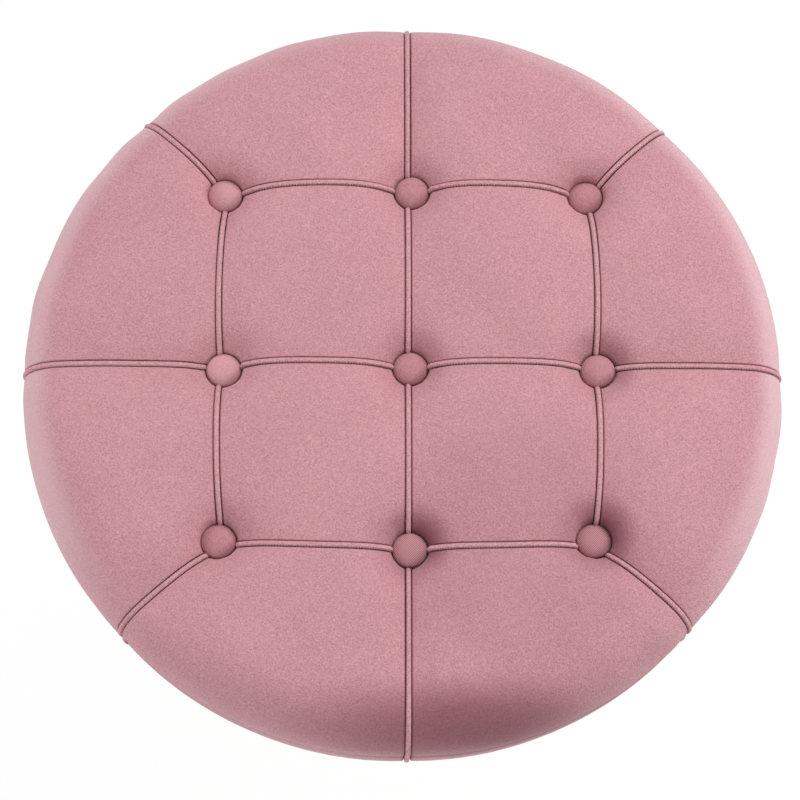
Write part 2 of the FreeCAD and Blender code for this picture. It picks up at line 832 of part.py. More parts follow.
def twine_at(name):
    """Two strands from the eye down through the board, tied in a knot under the washer."""
    loop_level = eye_level - size.eye_radius
    knot_top = board_bottom - size.washer_thickness
    centre = button_centre(name, loop_level)
    aside = Vector(0, size.twine_loop_radius, 0)
    low = button_centre(name, knot_top)
    path = Part.Wire([
        line_between(low - aside, centre - aside),
        arc_between(centre - aside, centre + UP * size.twine_loop_radius, centre + aside),
        line_between(centre + aside, low + aside),
    ])
    ring = Part.Wire(Part.Circle(low - aside, UP, size.twine_radius).toShape())
    strands = path.makePipeShell([ring], True, False)
    knot = upright_rod(low, size.knot_radius, knot_top - size.knot_height, knot_top)
    return strands.fuse(knot).Solids[0]


shaped("tufting_twine", [twine_at(name) for name in BUTTON_GRID])

washers = []
for name in BUTTON_GRID:
    level = button_centre(name, board_bottom - size.washer_thickness)
    disc = rod(f"disc_{name}", "Sizes.washer_radius", "Sizes.washer_thickness", Placement(level, Rotation()))
    bore = rod(f"bore_{name}", "Sizes.washer_bore_radius", "Sizes.washer_thickness", disc.Placement)
    washers.append(cut_by(f"washer_{name}", disc, [bore]))
grouped("twine_washers", washers)

# Legs: a leaning frame at the head of each, with its axis pointing back up the leg


def leg_angles():
    return [size.first_leg_angle + index * 360.0 / LEG_COUNT for index in range(LEG_COUNT)]


def plate_frame(angle, level):
    return Placement(polar(size.leg_circle, math.radians(angle), level), Rotation(UP, angle))


def leg_frame(angle):
    lean = Placement(Vector(), Rotation(Vector(0, 1, 0), -size.leg_splay))
    return plate_frame(angle, plate_bottom) * lean


def along(frame, distance):
    return frame * Placement(UP * distance, Rotation())


FLOOR_REACH = f"(({BOARD_BOTTOM} - Sizes.plate_thickness) / cos(Sizes.leg_splay * 1deg))"
LEG_NAMES = ("back_right", "back_left", "front_left", "front_right")
screw_places = [
    Vector(across * size.screw_pitch / 2.0, aside * size.screw_pitch / 2.0, 0)
    for across in (-1, 1) for aside in (-1, 1)
]
studs = []
nuts = []
screws = []
board_holes = []
cloth_holes = []
for leg_name, angle in zip(LEG_NAMES, leg_angles()):
    frame = leg_frame(angle)
    flat_frame = plate_frame(angle, plate_bottom)

    # Plate with its leaning boss
    square = doc.addObject("Part::Box", f"square_{leg_name}")
    bind(square, Length="Sizes.plate_width", Width="Sizes.plate_width", Height="Sizes.plate_thickness")
    half = size.plate_width / 2.0
    square.Placement = flat_frame * Placement(Vector(-half, -half, 0), Rotation())
    boss = rod(
        f"boss_{leg_name}", "Sizes.boss_radius", "Sizes.boss_height + Sizes.plate_thickness / 2",
        along(frame, -size.boss_height),
    )
    blank = doc.addObject("Part::MultiFuse", f"blank_{leg_name}")
    blank.Shapes = [square, boss]
    stud_hole = rod(
        f"stud_hole_{leg_name}", "Sizes.stud_radius + Sizes.stud_clearance",
        "Sizes.boss_height + 2 * Sizes.plate_thickness", along(frame, -size.boss_height),
    )
    holes = [stud_hole]
    for number, place in enumerate(screw_places):
        spot = flat_frame * Placement(place, Rotation())
        holes.append(rod(
            f"plate_hole_{leg_name}_{number}", "Sizes.screw_radius + Sizes.screw_clearance",
            "Sizes.plate_thickness", spot,
        ))
        shank = rod(
            f"shank_{leg_name}_{number}", "Sizes.screw_radius", "Sizes.screw_length", spot
        )
        head = rod(
            f"head_{leg_name}_{number}", "Sizes.screw_head_radius", "Sizes.screw_head_height",
            along(spot, -size.screw_head_height),
        )
        screw = doc.addObject("Part::MultiFuse", f"screw_{leg_name}_{number}")
        screw.Shapes = [shank, head]
        screws.append(screw)
        board_holes.append(rod(
            f"pilot_{leg_name}_{number}", "Sizes.screw_radius + Sizes.screw_clearance",
            "Sizes.screw_length + Sizes.screw_clearance - Sizes.plate_thickness",
            along(spot, size.plate_thickness),
        ))
    keep(f"leg_plate_{leg_name}", cut_by(f"leg_plate_{leg_name}", blank, holes))

    # Stud through boss and leg head, and the nut inside the leg
    reach = size.leg_cap + size.nut_height
    studs.append(rod(
        f"stud_{leg_name}", "Sizes.stud_radius", "Sizes.boss_height + Sizes.leg_cap + Sizes.nut_height",
        along(frame, -size.boss_height - reach),
    ))
    nut_frame = along(frame, -size.boss_height - reach)
    prism = doc.addObject("Part::Prism", f"prism_{leg_name}")
    prism.Polygon = 6
    bind(prism, Circumradius="Sizes.nut_across / 2 / cos(30deg)", Height="Sizes.nut_height")
    prism.Placement = nut_frame
    nut_bore = rod(
        f"nut_bore_{leg_name}", "Sizes.stud_radius + Sizes.stud_clearance", "Sizes.nut_height", nut_frame
    )
    nuts.append(cut_by(f"nut_{leg_name}", prism, [nut_bore]))

    # Tapered tube with a closed head
    leg = new_body(f"leg_{leg_name}")
    foot = f"-({FLOOR_REACH} - Sizes.glide_height)"
    outline = outline_sketch(leg, "Profile", "XZ_Plane", [
        ("Sizes.stud_radius + Sizes.stud_clearance", "-Sizes.boss_height"),
        ("Sizes.leg_top_radius", "-Sizes.boss_height"),
        ("Sizes.leg_foot_radius", foot),
        ("Sizes.leg_foot_radius - Sizes.leg_wall", foot),
        ("Sizes.leg_top_radius - Sizes.leg_wall", "-Sizes.boss_height - Sizes.leg_cap"),
        ("Sizes.stud_radius + Sizes.stud_clearance", "-Sizes.boss_height - Sizes.leg_cap"),
    ])
    leg.Tip = revolved(leg, outline)
    leg.Placement = frame

    # Foot pad: a plug in the tube, and a pad cut level with the floor
    glide = new_body(f"glide_{leg_name}")
    plug = "Sizes.leg_foot_radius - Sizes.leg_wall - Sizes.glide_clearance"
    outline = outline_sketch(glide, "Profile", "XZ_Plane", [
        ("0", f"{foot} + Sizes.glide_plug_length"),
        (plug, f"{foot} + Sizes.glide_plug_length"),
        (plug, foot),
        ("Sizes.glide_radius", foot),
        ("Sizes.glide_radius", f"{foot} - 2 * Sizes.glide_height"),
        ("0", f"{foot} - 2 * Sizes.glide_height"),
    ])
    turn = revolved(glide, outline)
    doc.recompute()
    whole = turn.Shape.Volume
    floor_left = f"-{FLOOR_REACH} + 2 * Sizes.glide_radius * tan(Sizes.leg_splay * 1deg)"
    floor_right = f"-{FLOOR_REACH} - 2 * Sizes.glide_radius * tan(Sizes.leg_splay * 1deg)"
    below = f"-{FLOOR_REACH} - 4 * Sizes.glide_height"
    level = outline_sketch(glide, "Floor", "XZ_Plane", [
        ("-2 * Sizes.glide_radius", floor_left),
        ("2 * Sizes.glide_radius", floor_right),
        ("2 * Sizes.glide_radius", below),
        ("-2 * Sizes.glide_radius", below),
    ])
    glide.Tip = pocketed(glide, level, "Level")
    doc.recompute()
    if not glide.Shape.Volume < whole:
        raise RuntimeError(f"the floor cuts nothing off the foot pad at the {leg_name}")
    glide.Placement = frame

    # Window in the black cloth round the plate
    window = doc.addObject("Part::Box", f"window_{leg_name}")
    open_width = size.plate_width + 2.0 * size.plate_clearance
    bind(
        window, Length="Sizes.plate_width + 2 * Sizes.plate_clearance",
        Width="Sizes.plate_width + 2 * Sizes.plate_clearance", Height="3 * Sizes.dust_cover_thickness",
    )
    window.Placement = plate_frame(angle, cloth_underside - size.dust_cover_thickness) * Placement(
        Vector(-open_width / 2.0, -open_width / 2.0, 0), Rotation()
    )
    cloth_holes.append(window)

grouped("plate_screws", screws)
grouped("leg_studs", studs)
grouped("leg_nuts", nuts)

# Plywood board

board_body = doc.addObject("PartDesign::Body", "board_blank")
disc = circle_sketch(board_body, "Disc", "XY_Plane", [("0", "0", "Sizes.board_radius")])
plate = padded(board_body, disc, "Sizes.board_thickness")
doc.recompute()
round_edge = board_body.newObject("PartDesign::Fillet", "LowEdge")
round_edge.Base = (plate, rings_at(plate.Shape, size.board_radius, 0.0))
round_edge.setExpression("Radius", "Sizes.board_edge_radius")
board_body.Tip = round_edge
board_body.Placement = Placement(UP * board_bottom, Rotation())
for name in BUTTON_GRID:
    board_holes.append(rod(
        f"twine_hole_{name}", "Sizes.twine_hole_radius", "Sizes.board_thickness",
        Placement(button_centre(name, board_bottom), Rotation()),
    ))
slots = doc.addObject("Part::Feature", "staple_slots")
slots.Shape = Part.makeCompound(hem_slots + cloth_slots)
keep("seat_board", cut_by("seat_board", board_body, board_holes + [slots]))

# Black cloth under the board, and the staples

cloth = doc.addObject("Part::Cylinder", "cloth_disc")
bind(cloth, Radius="Sizes.dust_cover_radius", Height="Sizes.dust_cover_thickness")
cloth.Placement = Placement(UP * cloth_underside, Rotation())
cloth_slot_tool = doc.addObject("Part::Feature", "cloth_slots")
cloth_slot_tool.Shape = Part.makeCompound(cloth_slots)
keep("dust_cover", cut_by("dust_cover", cloth, cloth_holes + [cloth_slot_tool]))
shaped("hem_staples", [staple(hem_staple_radius, angle, hem_underside) for angle in hem_angles])
shaped("dust_cover_staples", [
    staple(cloth_staple_radius, angle, cloth_underside) for angle in cloth_angles
])

# Check the whole document, then write one file per sub-part

doc.recompute()
for item in doc.Objects:
    if "Invalid" in item.State or "Error" in item.State:
        raise RuntimeError(f"{item.Label} did not build: {item.State}")
os.makedirs("parts", exist_ok=True)
for label, piece in pieces.items():
    shape = piece.Shape
    if shape.isNull() or not shape.isValid() or not shape.Solids:
        raise RuntimeError(f"{label} has no valid solid")
for label, piece in pieces.items():
    piece.Shape.exportStep(f"parts/{label}.step")
    print(label, len(piece.Shape.Solids), round(piece.Shape.Volume))
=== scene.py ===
"""Looks of a round button-tufted vanity stool, dressed around its packed construction frame."""

import logging
import math
from dataclasses import dataclass, field
from enum import Enum
from typing import Any, Mapping, Sequence

import bpy
import numpy as np
from mathutils import Matrix, Vector


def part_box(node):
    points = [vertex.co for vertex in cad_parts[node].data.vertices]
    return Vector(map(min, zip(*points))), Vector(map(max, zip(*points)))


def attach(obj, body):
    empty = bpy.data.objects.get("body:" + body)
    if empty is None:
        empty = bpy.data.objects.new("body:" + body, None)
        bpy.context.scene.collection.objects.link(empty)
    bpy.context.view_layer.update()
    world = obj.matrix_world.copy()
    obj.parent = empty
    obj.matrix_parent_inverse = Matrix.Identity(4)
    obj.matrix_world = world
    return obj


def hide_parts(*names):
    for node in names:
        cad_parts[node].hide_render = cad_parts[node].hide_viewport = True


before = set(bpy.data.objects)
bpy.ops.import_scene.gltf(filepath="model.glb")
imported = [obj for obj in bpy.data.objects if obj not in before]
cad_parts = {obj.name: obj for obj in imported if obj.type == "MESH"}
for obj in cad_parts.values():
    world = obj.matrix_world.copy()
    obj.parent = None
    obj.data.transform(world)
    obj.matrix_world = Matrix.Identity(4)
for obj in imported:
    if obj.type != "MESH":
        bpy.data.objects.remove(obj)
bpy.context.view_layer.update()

Array = np.ndarray
Colour = tuple[float, float, float]
Socket = bpy.types.NodeSocket
log = logging.getLogger("vanity_stool")

BODY = "root"
UP = np.array([0.0, 0.0, 1.0])
WHITE = (1.0, 1.0, 1.0, 1.0)
SHEEN_TINT = (1.0, 0.85, 0.88, 1.0)


# Sizes and the sewn pattern


@dataclass(frozen=True)
class SeatSizes:
    """Driving sizes of the seat in metres and degrees, as its construction has them."""

    seat_height: float = 0.450
    seat_radius: float = 0.216
    velvet: float = 0.0015
    soft_gap: float = 0.0003
    pillow_rise: float = 0.007
    tuft_depth: float = 0.017
    outer_rise: float = 0.003
    radial_rise: float = 0.0095
    shoulder_rise: float = 0.002
    rim_drop: float = 0.041
    roll_under: float = 0.011
    under_roll_radius: float = 0.025
    seam_recess: float = 0.001
    seam_setback: float = 0.00157
    seam_bow: float = 0.0027
    cord_radius: float = 0.0015
    cord_sink: float = 0.0005
    button_pitch: float = 0.1055
    corner_pull: float = 0.0025
    pattern_shift: tuple[float, float] = (0.0025, 0.0023)
    back_diagonal: float = 45.0
    front_diagonal: float = 43.0
    board_bottom: float = 0.345
    board_thickness: float = 0.015
    board_radius: float = 0.188
    board_edge_radius: float = 0.006
    band_radius: float = 0.050
    hem_width: float = 0.030

    @property
    def mid_seam(self) -> float:
        """Level of the middle of a seam between two buttons."""
        return self.seat_height - self.pillow_rise

    @property
    def pit(self) -> float:
        """Level of a seam crossing under a button."""
        return self.mid_seam - self.tuft_depth

    @property
    def outer_crest(self) -> float:
        """Level of the crest of an outer panel."""
        return self.mid_seam + self.outer_rise

    @property
    def radial_crest(self) -> float:
        """Level of the crest of a radial seam."""
        return self.pit + self.radial_rise

    @property
    def rim(self) -> float:
        """Level of the widest line."""
        return self.seat_height - self.rim_drop

    @property
    def crease(self) -> float:
        """Level of the seam between crown and side band."""
        return self.rim - self.roll_under


def travelled_along(line: Array) -> Array:
    """Length from the first point of a line to each of its points."""
    return np.concatenate([[0.0], np.cumsum(np.linalg.norm(np.diff(line, axis=0), axis=-1))])


def unit(vectors: Array) -> Array:
    """Vectors scaled to length one along their last axis."""
    return vectors / np.linalg.norm(vectors, axis=-1, keepdims=True)


def level_with(vectors: Array, height: float = 0.0) -> Array:
    """Copy of some points with their heights set to one value.

    Args:
        vectors: Points of shape (..., 3).
        height: The value.

    Returns:
        The levelled points.
    """
    made = np.array(vectors, float)
    made[..., 2] = height
    return made


def reach_from(points: Array, middle: Sequence[float] = (0.0, 0.0)) -> Array:
    """Level distance of points from an upright line through a middle."""
    return np.hypot(points[..., 0] - middle[0], points[..., 1] - middle[1])


def round_axis(radius: Array, angle: Array, height: Array) -> Array:
    """Points (r cos a, r sin a, z) about the Z axis."""
    return np.stack(np.broadcast_arrays(radius * np.cos(angle), radius * np.sin(angle), height), axis=-1)


def arc_share(start: Array, middle: Array, end: Array, share: Array) -> Array:
    """Points part of the way along circular arcs that each pass through three points.

    With a = middle - start and b = end - start the centre lies at
    start + ((|a|^2 b - |b|^2 a) x (a x b)) / (2 |a x b|^2), and a share s of the whole turn t
    gives centre + e1 cos(s t) + e2 sin(s t), with e1 from the centre to the start.

    Args:
        start: First points of the arcs, of shape (..., 3).
        middle: Points that the arcs pass through.
        end: Last points of the arcs.
        share: Shares of the arcs' turn, of shape (...), which go with the points.

    Returns:
        Points of shape (..., 3).
    """
    a, b = middle - start, end - start
    normal = np.cross(a, b)
    squares = (a * a).sum(-1, keepdims=True) * b - (b * b).sum(-1, keepdims=True) * a
    centre = start + np.cross(squares, normal) / (2.0 * (normal * normal).sum(-1, keepdims=True))
    first = start - centre
    second = np.cross(unit(normal), first)
    last = end - centre
    turn = np.arctan2((last * second).sum(-1), (last * first).sum(-1)) % (2.0 * math.pi)
    angle = (turn * share)[..., None]
    return centre + first * np.cos(angle) + second * np.sin(angle)


def crowded(count: int, hold: float = 0.72) -> Array:
    """Shares from 0 to 1 that crowd towards both ends: t - hold sin(2 pi t) / (2 pi)."""
    t = np.linspace(0.0, 1.0, count)
    return t - hold * np.sin(2.0 * math.pi * t) / (2.0 * math.pi)


def smooth_step(value: Array, low: float, high: float) -> Array:
    """Smooth rise from 0 at low to 1 at high: t^2 (3 - 2 t)."""
    t = np.clip((value - low) / (high - low), 0.0, 1.0)
    return t * t * (3.0 - 2.0 * t)


class Pattern:
    """The sewn pattern: nine crossings under the buttons and the seams between them."""

    GRID: dict[str, tuple[int, int]] = {
        "nw": (-1, 1), "n": (0, 1), "ne": (1, 1),
        "w": (-1, 0), "c": (0, 0), "e": (1, 0),
        "sw": (-1, -1), "s": (0, -1), "se": (1, -1),
    }
    INNER: dict[str, tuple[str, str, str, str]] = {
        "nw": ("w", "c", "n", "nw"), "ne": ("c", "e", "ne", "n"),
        "sw": ("sw", "s", "c", "w"), "se": ("s", "se", "e", "c"),
    }
    OUTER: dict[str, tuple[str, str]] = {
        "ene": ("e", "ne"), "nne": ("ne", "n"), "nnw": ("n", "nw"), "wnw": ("nw", "w"),
        "wsw": ("w", "sw"), "ssw": ("sw", "s"), "sse": ("s", "se"), "ese": ("se", "e"),
    }
    SEAMS: tuple[tuple[str, str], ...] = (
        ("nw", "n"), ("n", "ne"), ("w", "c"), ("c", "e"), ("sw", "s"), ("s", "se"),
        ("nw", "w"), ("w", "sw"), ("n", "c"), ("c", "s"), ("ne", "e"), ("e", "se"),
    )

    def __init__(self, sizes: SeatSizes) -> None:
        """Keep the sizes and the middle of the pattern."""
        self.sizes = sizes
        self.centre = np.array([*sizes.pattern_shift, 0.0])

    def crossing(self, name: str) -> Array:
        """Seam crossing under a button, at the level of the pit.

        Args:
            name: The button.

        Returns:
            One point.
        """
        column, row = self.GRID[name]
        reach = self.sizes.button_pitch - (self.sizes.corner_pull if column and row else 0.0)
        return self.centre + np.array([column * reach, row * reach, self.sizes.pit])

    def seam_middle(self, first: str, second: str) -> Array:
        """Middle of a seam between two crossings: raised, and bowed outwards round the square.

        Args:
            first: Button at one end.
            second: Button at the other.

        Returns:
            One point.
        """
        halfway = level_with((self.crossing(first) + self.crossing(second)) / 2.0)
        if "c" not in (first, second):
            halfway = halfway + unit(halfway - self.centre) * self.sizes.seam_bow
        return halfway + UP * self.sizes.mid_seam

    def heading(self, name: str) -> Array:
        """Direction in which a radial seam leaves the middle of the pattern.

        Args:
            name: The seam's button.

        Returns:
            A level unit vector.
        """
        column, row = self.GRID[name]
        if column == 0:
            return np.array([0.0, float(row), 0.0])
        diagonal = self.sizes.back_diagonal if row > 0 else self.sizes.front_diagonal
        lean = math.radians(row * diagonal)
        return np.array([column * math.cos(lean), math.sin(lean), 0.0])

    def rim_angle(self, name: str) -> float:
        """Angle about the seat's axis at which a radial seam meets the rim.

        Args:
            name: The seam's button.

        Returns:
            The angle in radians.
        """
        heading = self.heading(name)
        along = float(self.centre @ heading)
        reach = math.sqrt(along ** 2 - self.centre @ self.centre + self.sizes.seat_radius ** 2)
        meeting = self.centre + heading * (reach - along)
        return math.atan2(meeting[1], meeting[0])

    def corner(self, name: str, first: Array, second: Array) -> Array:
        """Corner of a panel, set back from both seams that leave the crossing.

        Args:
            name: The button at the corner.
            first: Way along one seam.
            second: Way along the other.

        Returns:
            One point.
        """
        one, two = unit(level_with(first)), unit(level_with(second))
        opening = np.linalg.norm(np.cross(one, two))
        return self.crossing(name) + (one + two) * (self.sizes.seam_setback / opening)

    def towards(self, name: str, neighbour: str) -> Array:
        """Way from a crossing to the middle of the seam to its neighbour."""
        return self.seam_middle(name, neighbour) - self.crossing(name)

    def panel_angles(self, first: str, second: str) -> tuple[float, float]:
        """Rim angles of an outer panel's two edges, set back from the seams beside it.

        Args:
            first: Button of the panel's first seam.
            second: Button of its last seam, anticlockwise.

        Returns:
            First and last angle in radians.
        """
        start, end = self.rim_angle(first), self.rim_angle(second)
        if end < start:
            end += 2.0 * math.pi
        setback = self.sizes.seam_setback / self.sizes.seat_radius
        return start + setback, end - setback

    def rim_points(self, angle: Array, fullness: Array) -> Array:
        """Points of the widest line, drawn in where a panel's fullness falls off."""
        radius = self.sizes.seat_radius - self.sizes.seam_recess * (1.0 - fullness)
        return round_axis(radius, angle, np.array(self.sizes.rim))


class RollSections:
    """Upright sections of an outer panel: crown arc, shoulder arc and the roll under the rim."""

    def __init__(self, sizes: SeatSizes, start: Array, rim: Array, crest: Array) -> None:
        """Work out the three arcs of every section.

        The crown arc leaves the start, tops out at the crest and runs into the shoulder arc
        where both share a tangent; the shoulder arc ends upright at the rim.

        Args:
            sizes: The seat's driving sizes.
            start: First points of the sections, of shape (n, 3).
            rim: Their points on the widest line.
            crest: Their highest levels, of shape (n,).
        """
        across = level_with(rim - start)
        self.sizes = sizes
        self.start = start
        self.run = np.linalg.norm(across, axis=-1)
        self.out = unit(across)
        self.level = rim[..., 2]
        rise = crest - start[..., 2]
        drop = crest - self.level
        self.shoulder = drop - sizes.shoulder_rise
        reach = self.run - self.shoulder
        square = sizes.shoulder_rise - rise
        linear = 2.0 * reach * rise
        gap = rise * reach ** 2 - rise * sizes.shoulder_rise * (rise - self.shoulder - drop)
        crest_reach = 2.0 * gap / (linear + np.sqrt(linear ** 2 + 4.0 * square * gap))
        self.crown = (crest_reach ** 2 / rise + rise) / 2.0
        self.crown_centre = (crest_reach, crest - self.crown)
        self.shoulder_centre = (reach, self.level)
        self.under_centre = (self.run - sizes.under_roll_radius, self.level)
        self.meeting = np.arctan2(self.level - self.crown_centre[1], reach - crest_reach)
        self.first = np.arctan2(start[..., 2] - self.crown_centre[1], -crest_reach)

    def points(self, share: Array, stop: float) -> Array:
        """Points at even lengths along the three arcs.

        Args:
            share: Shares of each section's length, of shape (m,).
            stop: Level at which the lower roll ends.

        Returns:
            Points of shape (n, m, 3).
        """
        last = np.arcsin((self.level - stop) / self.sizes.under_roll_radius)
        lengths = (
            self.crown * (self.first - self.meeting),
            self.shoulder * self.meeting,
            self.sizes.under_roll_radius * last,
        )
        travelled = share[None, :] * sum(lengths)[:, None]
        after_crown = travelled - lengths[0][:, None]
        after_shoulder = after_crown - lengths[1][:, None]
        crown = self.on_arc(
            self.crown_centre, self.crown, self.first[:, None] - travelled / self.crown[:, None]
        )
        shoulder = self.on_arc(
            self.shoulder_centre, self.shoulder, self.meeting[:, None] - after_crown / self.shoulder[:, None]
        )
        under_radius = np.full_like(self.crown, self.sizes.under_roll_radius)
        under = self.on_arc(self.under_centre, under_radius, -after_shoulder / under_radius[:, None])
        past_crown, past_shoulder = after_crown[..., None] > 0.0, after_shoulder[..., None] > 0.0
        return np.where(past_shoulder, under, np.where(past_crown, shoulder, crown))

    def on_arc(self, centre: tuple[Array, Array], radius: Array, angle: Array) -> Array:
        """Points of the sections at angles on circles about one of their centres.

        Args:
            centre: Distances and heights of the circles' centres.
            radius: Their radii.
            angle: Angles of shape (n, m).

        Returns:
            Points of shape (n, m, 3).
        """
        distance = centre[0][:, None] + radius[:, None] * np.cos(angle)
        height = centre[1][:, None] + radius[:, None] * np.sin(angle)
        return (
            level_with(self.start)[:, None, :] + self.out[:, None, :] * distance[..., None]
            + UP * height[..., None]
        )


class BandSections:
    """Upright sections of the side band: bulging arc, turn round the board and the hem."""

    def __init__(self, sizes: SeatSizes, angle: Array, fullness: Array) -> None:
        """Work out the bulge: it passes the crease and runs into the turn round the board.

        Args:
            sizes: The seat's driving sizes.
            angle: Angles of the sections about the seat's axis.
            fullness: How full the rim is at each, from 0 at a seam to 1.
        """
        roll = math.asin(sizes.roll_under / sizes.under_roll_radius)
        inset = sizes.under_roll_radius * (1.0 - math.cos(roll))
        rim = sizes.seat_radius - sizes.seam_recess * (1.0 - fullness) - inset
        self.sizes = sizes
        self.angle = angle
        self.turn = sizes.board_edge_radius + sizes.velvet + sizes.soft_gap
        self.edge = np.array([
            sizes.board_radius - sizes.board_edge_radius, sizes.board_bottom + sizes.board_edge_radius
        ])
        top = np.stack([rim, np.full_like(rim, sizes.crease - sizes.soft_gap)], axis=-1)
        span = self.edge - top
        reach = np.linalg.norm(span, axis=-1)
        along = (sizes.band_radius ** 2 - (sizes.band_radius - self.turn) ** 2 + reach ** 2) / (2.0 * reach)
        aside = np.sqrt(sizes.band_radius ** 2 - along ** 2)
        heading = span / reach[:, None]
        inward = np.stack([heading[:, 1], -heading[:, 0]], axis=-1)
        self.centre = top + heading * along[:, None] + inward * aside[:, None]
        self.first = np.arctan2(top[:, 1] - self.centre[:, 1], top[:, 0] - self.centre[:, 0])
        self.meeting = np.arctan2(self.edge[1] - self.centre[:, 1], self.edge[0] - self.centre[:, 0])

    def points(self, share: Array) -> Array:
        """Points at even lengths along bulge, turn and hem.

        Args:
            share: Shares of each section's length, of shape (m,).

        Returns:
            Points of shape (n, m, 3).
        """
        hem = self.edge[0] - (self.sizes.board_radius - self.sizes.hem_width)
        bulge_length = self.sizes.band_radius * (self.first - self.meeting)
        turn_length = self.turn * (self.meeting + math.pi / 2.0)
        travelled = share[None, :] * (bulge_length + turn_length + hem)[:, None]
        after_bulge = travelled - bulge_length[:, None]
        after_turn = after_bulge - turn_length[:, None]
        on_bulge = self.first[:, None] - travelled / self.sizes.band_radius
        on_turn = self.meeting[:, None] - after_bulge / self.turn
        distance = np.where(
            after_turn > 0.0, self.edge[0] - after_turn,
            np.where(after_bulge > 0.0, self.edge[0] + self.turn * np.cos(on_turn),
                     self.centre[:, :1] + self.sizes.band_radius * np.cos(on_bulge)),
        )
        height = np.where(
            after_turn > 0.0, self.edge[1] - self.turn,
            np.where(after_bulge > 0.0, self.edge[1] + self.turn * np.sin(on_turn),
                     self.centre[:, 1:] + self.sizes.band_radius * np.sin(on_bulge)),
        )
        return round_axis(distance, self.angle[:, None], height)


# Meshes


@dataclass
class MeshParts:
    """Grids gathered into one mesh, with a map and a value for each of their points."""

    points: list[Array] = field(default_factory=list)
    faces: list[list[int]] = field(default_factory=list)
    maps: list[Array] = field(default_factory=list)
    values: list[Array] = field(default_factory=list)
    seams: list[Array] = field(default_factory=list)
    count: int = 0

    def add(
        self, points: Array, *faces: Array, uv: Array | None = None, value: Array | None = None,
        seam: Array | None = None,
    ) -> None:
        """Add points and the faces between them.

        Args:
            points: Points of shape (..., 3).
            faces: Point numbers of shape (k, 3) or (k, 4), counted within these points.
            uv: Place of each point in the cloth, in metres.
            value: One number for each point, such as its painted shade (above 0) and highlight (below 0).
            seam: Length along the nearest stitched seam and distance from it, in metres.
        """
        flat = points.reshape(-1, 3)
        self.points.append(flat)
        for group in faces:
            self.faces.extend((group + self.count).tolist())
        self.maps.append(np.zeros((len(flat), 2)) if uv is None else uv.reshape(-1, 2))
        self.values.append(np.zeros(len(flat)) if value is None else value.reshape(-1))
        self.seams.append(np.full((len(flat), 2), 1.0) if seam is None else seam.reshape(-1, 2))
        self.count += len(flat)

    def add_shell(
        self, top: Array, under: Array, flip: bool, uv: Array | None = None, value: Array | None = None,
        seam: Array | None = None,
    ) -> None:
        """Add a closed shell between two grids.

        Args:
            top: Grid of the outer face, of shape (rows, columns, 3).
            under: Grid of the inner face.
            flip: Whether (step in rows) x (step in columns) faces inwards.
            uv: Place of each point in the cloth, the same for both grids.
            value: One number for each point, the same for both.
            seam: Length along the nearest stitched seam and distance from it, the same for both.
        """
        faces = shell_faces(*top.shape[:2])
        layers = np.concatenate([top.reshape(-1, 3), under.reshape(-1, 3)])
        uv, value, seam = (
            None if layer is None else np.concatenate([layer, layer]) for layer in (uv, value, seam)
        )
        self.add(layers, faces[:, ::-1] if flip else faces, uv=uv, value=value, seam=seam)

    def build(self, name: str, material: bpy.types.Material) -> bpy.types.Object:
        """Make the mesh and its object, at the origin, and ride it on the seat's body.

        Args:
            name: Name of the piece.
            material: Its material.

        Returns:
            The piece.
        """
        mesh = bpy.data.meshes.new(name)
        mesh.from_pydata(np.concatenate(self.points).tolist(), [], self.faces)
        corner = np.zeros(len(mesh.loops), np.int32)
        mesh.loops.foreach_get("vertex_index", corner)
        for layer, values in (("cloth", self.maps), ("seam", self.seams)):
            uv = mesh.uv_layers.new(name=layer)
            uv.data.foreach_set("uv", np.concatenate(values)[corner].astype(np.float32).ravel())
        # Each point's value is stored as its painted shade and highlight.
        pressed = mesh.attributes.new("painted_shading", "FLOAT", "POINT")
        pressed.data.foreach_set("value", np.concatenate(self.values).astype(np.float32))
        mesh.polygons.foreach_set("use_smooth", np.ones(len(mesh.polygons), bool))
        mesh.materials.append(material)
        mesh.validate()
        mesh.update()
        piece = bpy.data.objects.new(name, mesh)
        bpy.context.scene.collection.objects.link(piece)
        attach(piece, BODY)
        return piece


def grid_faces(rows: int, columns: int, ring: bool = False) -> Array:
    """Quads of a grid numbered row by row, facing along (step in rows) x (step in columns).

    Args:
        rows: Number of rows.
        columns: Number of points in a row.
        ring: Whether the last point of a row joins the first.

    Returns:
        Point numbers of shape (k, 4).
    """
    i, j = np.meshgrid(np.arange(rows - 1), np.arange(columns if ring else columns - 1), indexing="ij")
    after = (j + 1) % columns
    return np.stack([
        i * columns + j, (i + 1) * columns + j, (i + 1) * columns + after, i * columns + after
    ], axis=-1).reshape(-1, 4)


def cap_faces(rings: int, count: int) -> Array:
    """Triangles that close a stack of rings towards two end points numbered after them.

    Args:
        rings: Number of rings.
        count: Points in a ring.

    Returns:
        Point numbers of shape (2 count, 3).
    """
    j = np.arange(count)
    after, last = (j + 1) % count, (rings - 1) * count
    return np.concatenate([
        np.stack([np.full(count, rings * count), j, after], axis=-1),
        np.stack([np.full(count, rings * count + 1), last + after, last + j], axis=-1),
    ])


def shell_faces(rows: int, columns: int) -> Array:
    """Faces of a closed shell between two grids, the face grid first and its back after it.

    Args:
        rows: Number of rows in a grid.
        columns: Number of points in a row.

    Returns:
        Point numbers of shape (k, 4).
    """
    face = grid_faces(rows, columns)
    back = face[:, ::-1] + rows * columns
    i, j = np.arange(rows), np.arange(columns)
    border = np.concatenate([
        i * columns, (rows - 1) * columns + j[1:], i[::-1][1:] * columns + columns - 1, j[::-1][1:-1]
    ])
    after = np.roll(border, -1)
    wall = np.stack([border, border + rows * columns, after + rows * columns, after], axis=-1)
    return np.concatenate([face, back, wall])


